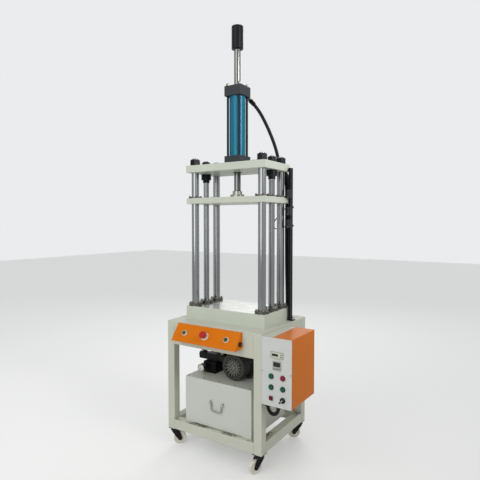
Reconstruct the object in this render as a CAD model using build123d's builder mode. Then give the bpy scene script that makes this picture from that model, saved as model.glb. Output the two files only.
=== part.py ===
# Four-column hydraulic press on a welded stand with casters.
# Millimetres, +Z up, the front of the press faces -Y, the floor is Z = 0.
# The origin is on the floor, at the middle of the outline seen from above.
from build123d import *
from math import atan2, cos, degrees, radians, sin, tan
import os

os.makedirs("parts", exist_ok=True)

# Stand
stand_width = 650
stand_depth = 540
caster_height = 105
stand_height = 650
post = 50
rail_height = 60
tube_wall = 3
tube_corner = 4
weld_step = 0.5
stand_top_thickness = 10
apron_height = 126
side_sheet = 2
side_recess = 8
tank_bar_width = 60
tank_bar_thickness = 4

# Plates and columns
plate_width = 550
plate_depth = 300
plate_setback = 117
bed_thickness = 76
slider_thickness = 35
crown_thickness = 43
plate_chamfer = 2
slider_margin = 2
column_span = 808
daylight = 620
column_inset = 40
column_d = 45
column_thread_d = 36
rod_d = 35
rod_thread_d = 27
nut_flats = 55
rod_nut_flats = 48
nut_height = 38
rod_nut_height = 34
thread_rise = 6
collar_d = 62
collar_height = 34
collar_neck_d = 42
collar_neck_height = 18
foot_flange_d = 82
foot_flange_height = 16
foot_bolt_circle = 64
spot_depth = 1
bushing_flange_d = 80
bushing_flange_height = 8
bushing_d = 58
rod_bushing_d = 48
bushing_bolt_circle = 68
flange_screw_d = 8
flange_screw_head_d = 12
flange_screw_head = 8
bushing_screw_d = 6
bushing_screw_head_d = 10
bushing_screw_head = 6

# Cylinder
cap_width = 115
cap_corner = 3
lower_cap_height = 52
upper_cap_height = 58
barrel_length = 354
barrel_d = 96
cylinder_bore_d = 80
piston_rod_d = 40
piston_height = 60
piston_seat_depth = 4
stroke = 200
gland_d = 62
gland_height = 10
tie_rod_d = 14
tie_rod_offset = 41
tie_nut_flats = 22
tie_nut_height = 12
crown_bore_d = 60
stop_space = 12
stroke_nut_d = 70
stroke_nut_length = 134
rod_flange_d = 88
rod_flange_height = 16
rod_collar_d = 58
rod_collar_height = 26
rod_flange_bolt_circle = 72

# Button box on the apron
button_box_width = 438
button_box_offset = -14
button_box_top_gap = 4
button_box_drop = 89
button_box_top_out = 9
button_box_foot_out = 74
button_spread = 144
panel_hole_d = 22.4
bezel_d = 31
bezel_rise = 8
cap_d = 23.4
cap_height = 7
button_stem_d = 12
button_depth = 24
button_travel = 4
stop_ring_d = 46
stop_ring_rise = 4
stop_head_d = 40
stop_head_top = 36
stop_head_height = 16
stop_head_round = 6
stop_stem_d = 14
stop_travel = 6
box_sheet = 1.5

# Control box beside the stand
control_width = 174
control_height = 358
control_depth = 280
control_top_gap = 7
bracket_width = 57
bracket_gap = 3
panel_thickness = 2
panel_centre_shift = 4
panel_column_pitch = 67
panel_row_top = 157
panel_row_pitch = 57
panel_bezel_d = 29
panel_bezel_rise = 4
panel_cap_d = 24.4
panel_cap_height = 5
panel_travel = 3
counter_width = 72
counter_height = 36
counter_from_bottom = 270
timer_side = 48
timer_from_bottom = 215
display_rise = 4
display_depth = 60
lamp_side = 25
selector_d = 24
selector_lever = 32
selector_lever_width = 9
panel_screw_d = 7

# Tank, motor and hydraulics
tank_width = 454
tank_height = 260
tank_depth = 390
tank_setback = 25
tank_offset = 20
tank_wall = 3
tank_lid_thickness = 6
motor_offset = 82
motor_setback = 95
motor_d = 138
motor_height = 78
motor_length = 190
motor_fins = 20
motor_fin_depth = 9
motor_shield = 14
motor_foot_spread = 96
terminal_box_width = 70
terminal_box_length = 84
terminal_box_height = 34
terminal_box_from_front = 80
motor_shaft_d = 19
fan_cover_d = 152
fan_cover_length = 52
fan_cover_wall = 2.5
pump_flange_d = 160
pump_bell_length = 60
pump_width = 84
pump_height = 92
pump_length = 90
manifold_width = 90
manifold_depth = 100
manifold_height = 64
manifold_offset = -120
manifold_setback = 190
valve_width = 70
valve_depth = 46
valve_height = 46
coil_d = 42
coil_length = 62
gauge_d = 46
gauge_depth = 26
handle_width = 70
handle_drop = 50
handle_bar_d = 8
handle_bend = 14
handle_height = 150
handle_pin_length = 14
handle_elbow = 6
lug_thickness = 5
lug_out = 20
breather_from_right = 40
breather_from_front = 280
breather_neck_d = 48
breather_neck_height = 14
breather_cap_d = 60
breather_cap_height = 22

# Casters
wheel_d = 75
wheel_width = 25
caster_inset = 30
caster_trail = 28
caster_plate = 60
caster_plate_thickness = 4
kingpin_d = 12
kingpin_head_d = 20
kingpin_head = 4
fork_gap = 30
fork_sheet = 3
fork_crown_d = 54
fork_lobe_r = 13
raceway_d = 50
raceway_height = 7
bearing_boss_d = 44
axle_d = 10
axle_head = 3
hub_d = 30
hub_recess = 4

# Hoses, cables and the switch rail
hose_d = 20
hose_elbow_d = 26
conduit_d = 20
cable_d = 6
switch_rail_width = 14
switch_rail_depth = 30
switch_rail_gap = 9
switch_rail_above_crown = -22
switch_rail_slot = 6
switch_body = (22, 26, 52)
switch_heights = (474, 548, 649)

# Clearances, all radial or face to face
seat_gap = 0.05
run_gap = 0.05
pin_gap = 0.04
body_gap = 0.3

# Heights above the floor
frame_bottom = caster_height
stand_top_z = caster_height + stand_height
frame_top = stand_top_z - stand_top_thickness
bed_top = stand_top_z + bed_thickness
slider_bottom = bed_top + daylight
slider_top = slider_bottom + slider_thickness
crown_bottom = bed_top + column_span
crown_top = crown_bottom + crown_thickness
barrel_bottom = crown_top + lower_cap_height
barrel_top = barrel_bottom + barrel_length
cylinder_top = barrel_top + upper_cap_height
stroke_nut_bottom = cylinder_top + gland_height + stroke + stop_space
rod_top = stroke_nut_bottom + stroke_nut_length
rail_top = frame_bottom + rail_height
tank_bottom = rail_top + tank_bar_thickness
tank_top = tank_bottom + tank_height
lid_top = tank_top + tank_lid_thickness

# The slope of the button box, measured from upright
slope_angle = atan2(button_box_foot_out - button_box_top_out, button_box_drop)
slope_mid_out = (button_box_foot_out + button_box_top_out) / 2
slope_mid_z = stand_top_z - button_box_top_gap - button_box_drop / 2

# How far the stop button's head reaches out in front of the stand
stop_reach = (
    slope_mid_out
    + cos(slope_angle) * (stop_head_top - stop_head_round)
    + sin(slope_angle) * (stop_head_d / 2 - stop_head_round)
    + stop_head_round
)

# Places in plan
stand_x = -control_width / 2
front_y = (stop_reach - stand_depth) / 2
stand_y = front_y + stand_depth / 2
stand_left = stand_x - stand_width / 2
stand_right = stand_x + stand_width / 2
press_x = stand_x
press_y = front_y + plate_setback + plate_depth / 2
plate_right = press_x + plate_width / 2
plate_back = press_y + plate_depth / 2
column_dx = plate_width / 2 - column_inset
column_dy = plate_depth / 2 - column_inset
corners = [(sx * column_dx, sy * column_dy) for sx in (-1, 1) for sy in (-1, 1)]
middles = [(-column_dx, 0), (column_dx, 0)]
tank_x = stand_x + tank_offset
tank_front = front_y + tank_setback
tank_back = tank_front + tank_depth
motor_x = stand_x + motor_offset
motor_z = lid_top + motor_height
motor_front = front_y + motor_setback + fan_cover_length
motor_back = motor_front + motor_length
manifold_x = stand_x + manifold_offset
manifold_y = front_y + manifold_setback


def press_plane(z):
    """A level plane whose origin is on the press's middle line."""
    return Plane((press_x, press_y, z))


def corner_points(radius, count=4, start=45):
    """Points on a bolt circle."""
    turn = 360 / count
    return [
        (radius * cos(radians(start + turn * i)), radius * sin(radians(start + turn * i)))
        for i in range(count)
    ]


def ring_points(centres, radius):
    """The four bolt points round each of several centres."""
    return [(cx + dx, cy + dy) for cx, cy in centres for dx, dy in corner_points(radius)]


def around_x(x):
    """An upright plane across the width, its local axes along Y and Z."""
    return Plane((x, 0, 0), x_dir=(0, 1, 0), z_dir=(1, 0, 0))


def facing_front(x, y, z):
    """An upright plane that looks out of the front, local axes along X and Z."""
    return Plane((x, y, z), x_dir=(1, 0, 0), z_dir=(0, -1, 0))


# Welded frame: four posts, bottom rails, top rails, a folded front apron,
# recessed side sheets and two flat bars that carry the tank
side_span = stand_depth - 2 * post
front_span = stand_width - 2 * post
weld_lap = tube_corner + 1
rail_width = post - 2 * weld_step
rail_bore = rail_width - 2 * tube_wall
with BuildPart() as stand_frame:
    with BuildSketch(Plane((stand_x, stand_y, frame_bottom))):
        with GridLocations(stand_width - post, stand_depth - post, 2, 2):
            RectangleRounded(post, post, tube_corner)
            Rectangle(post - 2 * tube_wall, post - 2 * tube_wall, mode=Mode.SUBTRACT)
    extrude(amount=frame_top - frame_bottom)
    rear_rail_y = stand_y + (stand_depth - post) / 2
    front_rail_y = stand_y - (stand_depth - post) / 2
    top_rail_z = frame_top - post / 2
    low_rail_z = frame_bottom + rail_height / 2
    with BuildSketch(around_x(stand_x)):
        with Locations((front_rail_y, low_rail_z), (rear_rail_y, low_rail_z)):
            RectangleRounded(rail_width, rail_height, tube_corner)
            Rectangle(rail_bore, rail_height - 2 * tube_wall, mode=Mode.SUBTRACT)
        with Locations((rear_rail_y, top_rail_z)):
            RectangleRounded(rail_width, post, tube_corner)
            Rectangle(rail_bore, post - 2 * tube_wall, mode=Mode.SUBTRACT)
    extrude(amount=front_span / 2 + weld_lap, both=True)
    # The apron is a sheet folded back along its top and bottom edges
    with BuildSketch(around_x(stand_x)):
        with Locations((front_rail_y, frame_top - apron_height / 2)):
            Rectangle(rail_width, apron_height)
        with Locations((front_rail_y + tube_wall, frame_top - apron_height / 2)):
            Rectangle(rail_width, apron_height - 2 * tube_wall, mode=Mode.SUBTRACT)
    extrude(amount=front_span / 2 + weld_lap, both=True)
    with BuildSketch(facing_front(stand_x, stand_y, 0)):
        for side in (-1, 1):
            rail_x = side * (stand_width - post) / 2
            with Locations((rail_x, low_rail_z)):
                RectangleRounded(rail_width, rail_height, tube_corner)
                Rectangle(rail_bore, rail_height - 2 * tube_wall, mode=Mode.SUBTRACT)
            with Locations((rail_x, top_rail_z)):
                RectangleRounded(rail_width, post, tube_corner)
                Rectangle(rail_bore, post - 2 * tube_wall, mode=Mode.SUBTRACT)
            sheet_x = side * (stand_width / 2 - side_recess - side_sheet / 2)
            with Locations((sheet_x, (rail_top + frame_top - post) / 2)):
                Rectangle(side_sheet, frame_top - post - rail_top)
    extrude(amount=side_span / 2 + weld_lap, both=True)
    bar_x = tank_width / 2 - tank_bar_width / 2
    with BuildSketch(Plane((tank_x, stand_y, rail_top))):
        with Locations((-bar_x, 0), (bar_x, 0)):
            Rectangle(tank_bar_width, stand_depth - post)
    extrude(amount=tank_bar_thickness)
stand_frame.part.label = "stand_frame"
export_step(stand_frame.part, "parts/stand_frame.step")

# Steel top of the stand, with a slot for the two hoses behind the bed
hose_slot_width = 66
hose_slot_depth = 34
hose_slot_x = stand_right - 78
hose_slot_y = stand_y + stand_depth / 2 - 70
with BuildPart() as stand_top:
    with BuildSketch(Plane((stand_x, stand_y, frame_top))):
        RectangleRounded(stand_width, stand_depth, tube_corner)
    extrude(amount=stand_top_thickness)
    chamfer(stand_top.faces().sort_by(Axis.Z)[-1].outer_wire().edges(), 1)
    with BuildSketch(Plane((hose_slot_x, hose_slot_y, frame_top))):
        SlotOverall(hose_slot_width, hose_slot_depth)
    extrude(amount=stand_top_thickness, mode=Mode.SUBTRACT)
stand_top.part.label = "stand_top"
export_step(stand_top.part, "parts/stand_top.step")

# Rear cover, screwed inside the rear opening, with rows of air slots
rear_height = frame_top - post - rail_top
with BuildPart() as rear_panel:
    with BuildSketch(facing_front(stand_x, stand_y + stand_depth / 2 - side_recess, 0)):
        with Locations((0, rail_top + rear_height / 2)):
            Rectangle(front_span - 2 * body_gap, rear_height - 2 * body_gap)
        with Locations((0, rail_top + rear_height * 0.75)):
            with GridLocations(front_span / 4, 22, 3, 5):
                SlotOverall(90, 8, mode=Mode.SUBTRACT)
    extrude(amount=side_sheet)
rear_panel.part.label = "rear_panel"
export_step(rear_panel.part, "parts/rear_panel.step")

# Work bed: a thick plate bored for the columns and guide rods, spot faced under their flanges
with BuildPart() as bed_plate:
    with BuildSketch(press_plane(stand_top_z)):
        Rectangle(plate_width, plate_depth)
    extrude(amount=bed_thickness)
    chamfer(bed_plate.edges().filter_by(Axis.Z, reverse=True).group_by(Axis.Z)[-1], plate_chamfer)
    with BuildSketch(press_plane(stand_top_z)):
        with Locations(*corners):
            Circle(column_d / 2 + seat_gap)
        with Locations(*middles):
            Circle(rod_d / 2 + seat_gap)
    extrude(amount=bed_thickness, mode=Mode.SUBTRACT)
    with BuildSketch(press_plane(bed_top - spot_depth)):
        with Locations(*corners, *middles):
            Circle(foot_flange_d / 2 + body_gap)
    extrude(amount=spot_depth, mode=Mode.SUBTRACT)
bed_plate.part.label = "bed_plate"
export_step(bed_plate.part, "parts/bed_plate.step")

# Crown plate: bored for the column threads, the piston rod and the tie rods
tie_points = [(sx * tie_rod_offset, sy * tie_rod_offset) for sx in (-1, 1) for sy in (-1, 1)]
with BuildPart() as crown_plate:
    with BuildSketch(press_plane(crown_bottom)):
        Rectangle(plate_width, plate_depth)
    extrude(amount=crown_thickness)
    chamfer(crown_plate.edges().filter_by(Axis.Z, reverse=True), plate_chamfer)
    with BuildSketch(press_plane(crown_bottom)):
        with Locations(*corners):
            Circle(column_thread_d / 2 + seat_gap)
        with Locations(*middles):
            Circle(rod_thread_d / 2 + seat_gap)
        with Locations(*tie_points):
            Circle(tie_rod_d / 2 + seat_gap)
        Circle(crown_bore_d / 2)
    extrude(amount=crown_thickness, mode=Mode.SUBTRACT)
crown_plate.part.label = "crown_plate"
export_step(crown_plate.part, "parts/crown_plate.step")

# Main columns: ground bars, shouldered under the crown and threaded above it
with BuildPart() as main_columns:
    with BuildSketch(press_plane(stand_top_z)):
        with Locations(*corners):
            Circle(column_d / 2)
    extrude(amount=crown_bottom - stand_top_z)
    with BuildSketch(press_plane(crown_bottom)):
        with Locations(*corners):
            Circle(column_thread_d / 2)
    extrude(amount=crown_thickness + nut_height + thread_rise)
    chamfer(main_columns.faces().group_by(Axis.Z)[-1].edges(), 2)
main_columns.part.label = "main_columns"
export_step(main_columns.part, "parts/main_columns.step")

# Guide rods at mid depth, one on each side
with BuildPart() as guide_rods:
    with BuildSketch(press_plane(stand_top_z)):
        with Locations(*middles):
            Circle(rod_d / 2)
    extrude(amount=crown_bottom - stand_top_z)
    with BuildSketch(press_plane(crown_bottom)):
        with Locations(*middles):
            Circle(rod_thread_d / 2)
    extrude(amount=crown_thickness + rod_nut_height + thread_rise)
    chamfer(guide_rods.faces().group_by(Axis.Z)[-1].edges(), 2)
guide_rods.part.label = "guide_rods"
export_step(guide_rods.part, "parts/guide_rods.step")


def nut_bevel(z, flats, height):
    """The turned outline that bevels a nut's corners, as a sketch in the XZ plane."""
    corner_r = flats / 2 / cos(radians(30))
    bevel = (corner_r - flats / 2) * tan(radians(30))
    with BuildPart() as turned:
        with BuildSketch(Plane.XZ):
            with BuildLine():
                Polyline(
                    (0, z),
                    (corner_r, z),
                    (corner_r, z + height - 2 * bevel),
                    (flats / 2 - bevel, z + height),
                    (0, z + height),
                    close=True,
                )
            make_face()
        revolve(axis=Axis.Z)
    return turned.part


def hex_nut(z, flats, height, bore_r):
    """One hexagon nut round the Z axis, bevelled on its upper face."""
    with BuildPart() as nut:
        with BuildSketch(Plane.XY.offset(z)):
            RegularPolygon(flats / 2, 6, major_radius=False)
            Circle(bore_r, mode=Mode.SUBTRACT)
        extrude(amount=height)
        add(nut_bevel(z, flats, height), mode=Mode.INTERSECT)
    return nut.part


# Black nuts on the crown, and the flanged collars that clamp the guide rods below it
corner_nut = hex_nut(crown_top, nut_flats, nut_height, column_thread_d / 2 + seat_gap)
middle_nut = hex_nut(crown_top, rod_nut_flats, rod_nut_height, rod_thread_d / 2 + seat_gap)
collar_bottom = crown_bottom - collar_height - collar_neck_height
with BuildPart() as column_nuts:
    with Locations(*[(press_x + x, press_y + y, 0) for x, y in corners]):
        add(corner_nut)
    with Locations(*[(press_x + x, press_y + y, 0) for x, y in middles]):
        add(middle_nut)
    with BuildSketch(press_plane(collar_bottom)):
        with Locations(*middles):
            Circle(collar_neck_d / 2)
            Circle(rod_d / 2 + seat_gap, mode=Mode.SUBTRACT)
    extrude(amount=collar_neck_height)
    with BuildSketch(press_plane(crown_bottom - collar_height)):
        with Locations(*middles):
            Circle(collar_d / 2)
            Circle(rod_d / 2 + seat_gap, mode=Mode.SUBTRACT)
    extrude(amount=collar_height)
column_nuts.part.label = "column_nuts"
export_step(column_nuts.part, "parts/column_nuts.step")

# Foot flanges that clamp every column and guide rod to the bed, each in its spot face
with BuildPart() as foot_flanges:
    with BuildSketch(press_plane(bed_top - spot_depth)):
        with Locations(*corners, *middles):
            Circle(foot_flange_d / 2)
    extrude(amount=foot_flange_height + spot_depth)
    chamfer(foot_flanges.faces().group_by(Axis.Z)[-1].edges(), 1.5)
    with BuildSketch(press_plane(bed_top - spot_depth)):
        with Locations(*corners):
            Circle(column_d / 2 + seat_gap)
        with Locations(*middles):
            Circle(rod_d / 2 + seat_gap)
    extrude(amount=foot_flange_height + spot_depth, mode=Mode.SUBTRACT)
foot_flanges.part.label = "foot_flanges"
export_step(foot_flanges.part, "parts/foot_flanges.step")

# Socket screws of the foot flanges: heads with hexagon sockets
with BuildPart() as flange_screws:
    with BuildSketch(press_plane(bed_top + foot_flange_height)):
        with Locations(*ring_points(corners + middles, foot_bolt_circle / 2)):
            Circle(flange_screw_head_d / 2)
    extrude(amount=flange_screw_head)
    with BuildSketch(press_plane(bed_top + foot_flange_height + flange_screw_head / 2)):
        with Locations(*ring_points(corners + middles, foot_bolt_circle / 2)):
            RegularPolygon(flange_screw_d / 2 * 0.75, 6, major_radius=False)
    extrude(amount=flange_screw_head / 2, mode=Mode.SUBTRACT)
flange_screws.part.label = "flange_screws"
export_step(flange_screws.part, "parts/flange_screws.step")

# Cylinder caps: square blocks with bevelled corners, a gland nose on the upper one
rod_bore_r = piston_rod_d / 2 + run_gap
tie_bore_r = tie_rod_d / 2 + seat_gap
with BuildPart() as cylinder_caps:
    with BuildSketch(press_plane(crown_top)):
        Rectangle(cap_width, cap_width)
    extrude(amount=lower_cap_height)
    with BuildSketch(press_plane(barrel_top)):
        Rectangle(cap_width, cap_width)
    extrude(amount=upper_cap_height)
    chamfer(cylinder_caps.edges().filter_by(Axis.Z), cap_corner)
    with BuildSketch(press_plane(cylinder_top)):
        Circle(gland_d / 2)
    extrude(amount=gland_height)
    chamfer(cylinder_caps.faces().sort_by(Axis.Z)[-1].edges(), 2)
    with BuildSketch(press_plane(crown_top)):
        Circle(rod_bore_r)
        with Locations(*tie_points):
            Circle(tie_bore_r)
    extrude(amount=lower_cap_height, mode=Mode.SUBTRACT)
    with BuildSketch(press_plane(barrel_top)):
        Circle(rod_bore_r)
        with Locations(*tie_points):
            Circle(tie_bore_r)
    extrude(amount=upper_cap_height + gland_height, mode=Mode.SUBTRACT)
    # Oil ports in the rear faces
    port_r = hose_elbow_d / 2 - 4
    lower_port_z = crown_top + lower_cap_height / 2
    upper_port_z = barrel_top + upper_cap_height / 2
    cap_back = press_y + cap_width / 2
    with BuildSketch(facing_front(press_x, cap_back, 0)):
        with Locations((0, lower_port_z), (0, upper_port_z)):
            Circle(port_r)
    extrude(amount=20, mode=Mode.SUBTRACT)
cylinder_caps.part.label = "cylinder_caps"
export_step(cylinder_caps.part, "parts/cylinder_caps.step")

# Cylinder barrel
with BuildPart() as barrel:
    with BuildSketch(press_plane(barrel_bottom)):
        Circle(barrel_d / 2)
        Circle(cylinder_bore_d / 2, mode=Mode.SUBTRACT)
    extrude(amount=barrel_length)
barrel.part.label = "barrel"
export_step(barrel.part, "parts/barrel.step")

# Tie rods, with their nuts on the upper cap and under the crown
tie_bottom = crown_bottom - tie_nut_height - thread_rise
tie_top = cylinder_top + tie_nut_height + thread_rise
with BuildPart() as tie_rods:
    with BuildSketch(press_plane(tie_bottom)):
        with Locations(*tie_points):
            Circle(tie_rod_d / 2)
    extrude(amount=tie_top - tie_bottom)
    chamfer(tie_rods.faces().group_by(Axis.Z)[-1].edges(), 1.5)
    for nut_z in (crown_bottom - tie_nut_height, cylinder_top):
        with BuildSketch(press_plane(nut_z)):
            with Locations(*tie_points):
                RegularPolygon(tie_nut_flats / 2, 6, major_radius=False)
        extrude(amount=tie_nut_height)
tie_rods.part.label = "tie_rods"
export_step(tie_rods.part, "parts/tie_rods.step")

# Piston rod, through both caps, from the slider's flange up into the stroke nut
with BuildPart() as piston_rod:
    with BuildSketch(press_plane(slider_top)):
        Circle(piston_rod_d / 2)
    extrude(amount=rod_top - slider_top)
    chamfer(piston_rod.faces().sort_by(Axis.Z)[-1].edges(), 2)
piston_rod.part.label = "piston_rod"
export_step(piston_rod.part, "parts/piston_rod.step")

# Piston with its two seal grooves
piston_bottom = barrel_top - piston_seat_depth - piston_height
with BuildPart() as piston:
    with BuildSketch(Plane.XZ):
        with BuildLine():
            groove = 3
            outer_r = cylinder_bore_d / 2 - run_gap
            inner_r = piston_rod_d / 2 + seat_gap
            steps = [0, 0.2, 0.3, 0.7, 0.8, 1]
            z = [piston_bottom + piston_height * s for s in steps]
            Polyline(
                (inner_r, z[0]),
                (outer_r, z[0]),
                (outer_r, z[1]),
                (outer_r - groove, z[1]),
                (outer_r - groove, z[2]),
                (outer_r, z[2]),
                (outer_r, z[3]),
                (outer_r - groove, z[3]),
                (outer_r - groove, z[4]),
                (outer_r, z[4]),
                (outer_r, z[5]),
                (inner_r, z[5]),
                close=True,
            )
        make_face()
    revolve(axis=Axis.Z)
piston_placed = piston.part.moved(Location((press_x, press_y, 0)))
piston_placed.label = "piston"
export_step(piston_placed, "parts/piston.step")

# Coupling flange that bolts the piston rod to the slider
with BuildPart() as rod_flange:
    with BuildSketch(press_plane(slider_top)):
        Circle(rod_flange_d / 2)
    extrude(amount=rod_flange_height)
    chamfer(rod_flange.faces().sort_by(Axis.Z)[-1].edges(), 1.5)
    with BuildSketch(press_plane(slider_top + rod_flange_height)):
        Circle(rod_collar_d / 2)
    extrude(amount=rod_collar_height)
    chamfer(rod_flange.faces().sort_by(Axis.Z)[-1].edges(), 3)
    with BuildSketch(press_plane(slider_top)):
        Circle(piston_rod_d / 2 + seat_gap)
    extrude(amount=rod_flange_height + rod_collar_height, mode=Mode.SUBTRACT)
    with BuildSketch(press_plane(slider_top + rod_flange_height)):
        with Locations(*corner_points(rod_flange_bolt_circle / 2, 6, 30)):
            Circle(bushing_screw_head_d / 2)
    extrude(amount=bushing_screw_head)
rod_flange.part.label = "rod_flange"
export_step(rod_flange.part, "parts/rod_flange.step")

# Slider plate, bored for the bushings, with a trip dog at its right rear corner
dog_out = 8
dog_width = 16
dog_y = plate_back - 47
with BuildPart() as slider_plate:
    with BuildSketch(press_plane(slider_bottom)):
        Rectangle(plate_width - 2 * slider_margin, plate_depth - 2 * slider_margin)
    extrude(amount=slider_thickness)
    chamfer(slider_plate.edges().filter_by(Axis.Z, reverse=True), plate_chamfer)
    with BuildSketch(press_plane(slider_bottom)):
        with Locations(*corners):
            Circle(bushing_d / 2 + seat_gap)
        with Locations(*middles):
            Circle(rod_bushing_d / 2 + seat_gap)
    extrude(amount=slider_thickness, mode=Mode.SUBTRACT)
    dog_x = plate_right - slider_margin - plate_chamfer
    with BuildSketch(Plane((dog_x + (dog_out + plate_chamfer) / 2, dog_y, slider_bottom + 4))):
        Rectangle(dog_out + plate_chamfer, dog_width)
    extrude(amount=slider_thickness - 8)
slider_plate.part.label = "slider_plate"
export_step(slider_plate.part, "parts/slider_plate.step")

# Flanged guide bushings in the slider, with their screws
with BuildPart() as guide_bushings:
    with BuildSketch(press_plane(slider_top)):
        with Locations(*corners, *middles):
            Circle(bushing_flange_d / 2)
    extrude(amount=bushing_flange_height)
    with BuildSketch(press_plane(slider_bottom)):
        with Locations(*corners):
            Circle(bushing_d / 2)
        with Locations(*middles):
            Circle(rod_bushing_d / 2)
    extrude(amount=slider_thickness)
    with BuildSketch(press_plane(slider_top + bushing_flange_height)):
        with Locations(*ring_points(corners + middles, bushing_bolt_circle / 2)):
            Circle(bushing_screw_head_d / 2)
    extrude(amount=bushing_screw_head)
    bushing_length = slider_thickness + bushing_flange_height
    with BuildSketch(press_plane(slider_bottom)):
        with Locations(*corners):
            Circle(column_d / 2 + run_gap)
        with Locations(*middles):
            Circle(rod_d / 2 + run_gap)
    extrude(amount=bushing_length, mode=Mode.SUBTRACT)
guide_bushings.part.label = "guide_bushings"
export_step(guide_bushings.part, "parts/guide_bushings.step")

# Stroke nut on the rod's upper thread, with tommy-bar holes round its lower end
with BuildPart() as stroke_nut:
    with BuildSketch(press_plane(stroke_nut_bottom)):
        Circle(stroke_nut_d / 2)
        Circle(piston_rod_d / 2 + run_gap, mode=Mode.SUBTRACT)
    extrude(amount=stroke_nut_length)
    chamfer(stroke_nut.edges().filter_by(GeomType.CIRCLE).sort_by(SortBy.RADIUS)[-2:], 2)
    hole_z = stroke_nut_bottom + 20
    with BuildSketch(facing_front(press_x, press_y, hole_z)):
        Circle(4)
    extrude(amount=stroke_nut_d, both=True, mode=Mode.SUBTRACT)
    with BuildSketch(Plane((press_x, press_y, hole_z), x_dir=(0, 1, 0), z_dir=(1, 0, 0))):
        Circle(4)
    extrude(amount=stroke_nut_d, both=True, mode=Mode.SUBTRACT)
stroke_nut.part.label = "stroke_nut"
export_step(stroke_nut.part, "parts/stroke_nut.step")

# Button box: a folded sheet box with a sloped face, open at its back
box_x = stand_x + button_box_offset
box_top = stand_top_z - button_box_top_gap
box_bottom = box_top - button_box_drop
box_right = box_x + button_box_width / 2
slope_plane = Plane(
    (box_x, front_y - slope_mid_out, slope_mid_z),
    x_dir=(1, 0, 0),
    z_dir=(0, -cos(slope_angle), sin(slope_angle)),
)
gland_hole_r = 9
box_gland_place = (front_y - 26, box_bottom + 30)
with BuildPart() as button_box:
    with BuildSketch(around_x(box_x)):
        with BuildLine():
            Polyline(
                (front_y, box_top),
                (front_y - button_box_top_out, box_top),
                (front_y - button_box_foot_out, box_bottom),
                (front_y, box_bottom),
                close=True,
            )
        make_face()
    extrude(amount=button_box_width / 2, both=True)
    fillet(button_box.edges().filter_by(Axis.X).sort_by(Axis.Y)[:2], 3)
    back = button_box.faces().sort_by(Axis.Y)[-1]
    offset(amount=-box_sheet, openings=back)
    with BuildSketch(slope_plane):
        with Locations((-button_spread, 0), (0, 0), (button_spread, 0)):
            Circle(panel_hole_d / 2)
    extrude(amount=3 * box_sheet, both=True, mode=Mode.SUBTRACT)
    with BuildSketch(around_x(box_right)):
        with Locations(box_gland_place):
            Circle(gland_hole_r)
    extrude(amount=3 * box_sheet, both=True, mode=Mode.SUBTRACT)
button_box.part.label = "button_box"
export_step(button_box.part, "parts/button_box.step")

# Control box and the mounting channel between it and the stand
control_top = stand_top_z - control_top_gap
control_bottom = control_top - control_height
control_mid_z = control_top - control_height / 2
control_back = front_y + control_depth
box_left = stand_right + bracket_width + bracket_gap
box_inner_width = control_width - bracket_width - bracket_gap
conduit_y = front_y + 24
conduit_far_x = stand_right + 88
conduit_near_x = stand_right + 24
conduit_hole_r = 11


notch_x = stand_right + bracket_width + bracket_gap / 2
notch_bottom = control_bottom + panel_row_top - 2 * panel_row_pitch - 20
notch_top = control_bottom + counter_from_bottom + counter_height / 2 + 4


def open_box(x_low, width, hole_x):
    """A sheet box with an open front, a conduit hole in its floor and a notch for the devices."""
    with BuildPart() as shell:
        with BuildSketch(facing_front(x_low + width / 2, control_back, control_mid_z)):
            RectangleRounded(width, control_height, 3)
        extrude(amount=control_depth - panel_thickness)
        front = shell.faces().sort_by(Axis.Y)[0]
        offset(amount=-box_sheet, openings=front)
        with BuildSketch(Plane((hole_x, conduit_y, control_bottom))):
            Circle(conduit_hole_r)
        extrude(amount=3 * box_sheet, both=True, mode=Mode.SUBTRACT)
        with BuildSketch(facing_front(notch_x, front_y, (notch_bottom + notch_top) / 2)):
            Rectangle(24, notch_top - notch_bottom)
        extrude(amount=-display_depth / 2 - 8, mode=Mode.SUBTRACT)
    return shell.part


control_box = open_box(box_left, box_inner_width, conduit_far_x)
control_box.label = "control_box"
export_step(control_box, "parts/control_box.step")

box_bracket = open_box(stand_right, bracket_width, conduit_near_x)
box_bracket.label = "box_bracket"
export_step(box_bracket, "parts/box_bracket.step")

# Front panel of the control box, cut out for its instruments
panel_x = stand_right + control_width / 2 + panel_centre_shift
panel_plane = facing_front(panel_x, front_y + panel_thickness, control_bottom)
panel_face = facing_front(panel_x, front_y, control_bottom)
half_pitch = panel_column_pitch / 2
button_places = {
    "start_button": (-half_pitch, panel_row_top),
    "halt_button": (half_pitch, panel_row_top),
    "jog_button": (-half_pitch, panel_row_top - panel_row_pitch),
    "reset_button": (half_pitch, panel_row_top - panel_row_pitch),
}
lamp_place = (-half_pitch, panel_row_top - 2 * panel_row_pitch)
selector_place = (half_pitch, panel_row_top - 2 * panel_row_pitch)
counter_place = (0, counter_from_bottom)
timer_place = (0, timer_from_bottom)
display_fit = 0.5
with BuildPart() as control_panel:
    with BuildSketch(panel_plane):
        with Locations((-panel_centre_shift, control_height / 2)):
            RectangleRounded(control_width, control_height, 3)
        with Locations(*button_places.values(), selector_place):
            Circle(panel_hole_d / 2, mode=Mode.SUBTRACT)
        with Locations(lamp_place):
            Rectangle(lamp_side - 3, lamp_side - 3, mode=Mode.SUBTRACT)
        with Locations(counter_place):
            Rectangle(counter_width - 4, counter_height - 4, mode=Mode.SUBTRACT)
        with Locations(timer_place):
            Rectangle(timer_side - 4, timer_side - 4, mode=Mode.SUBTRACT)
    extrude(amount=panel_thickness)
    # Four panel screws, at the corners and half way up each side
    screw_dx = control_width / 2 - 7
    screw_dy = control_height / 2 - 7
    with BuildSketch(panel_face):
        with Locations((-panel_centre_shift, control_height / 2)):
            with GridLocations(2 * screw_dx, screw_dy, 2, 3):
                Circle(panel_screw_d / 2)
    extrude(amount=2)
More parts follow.
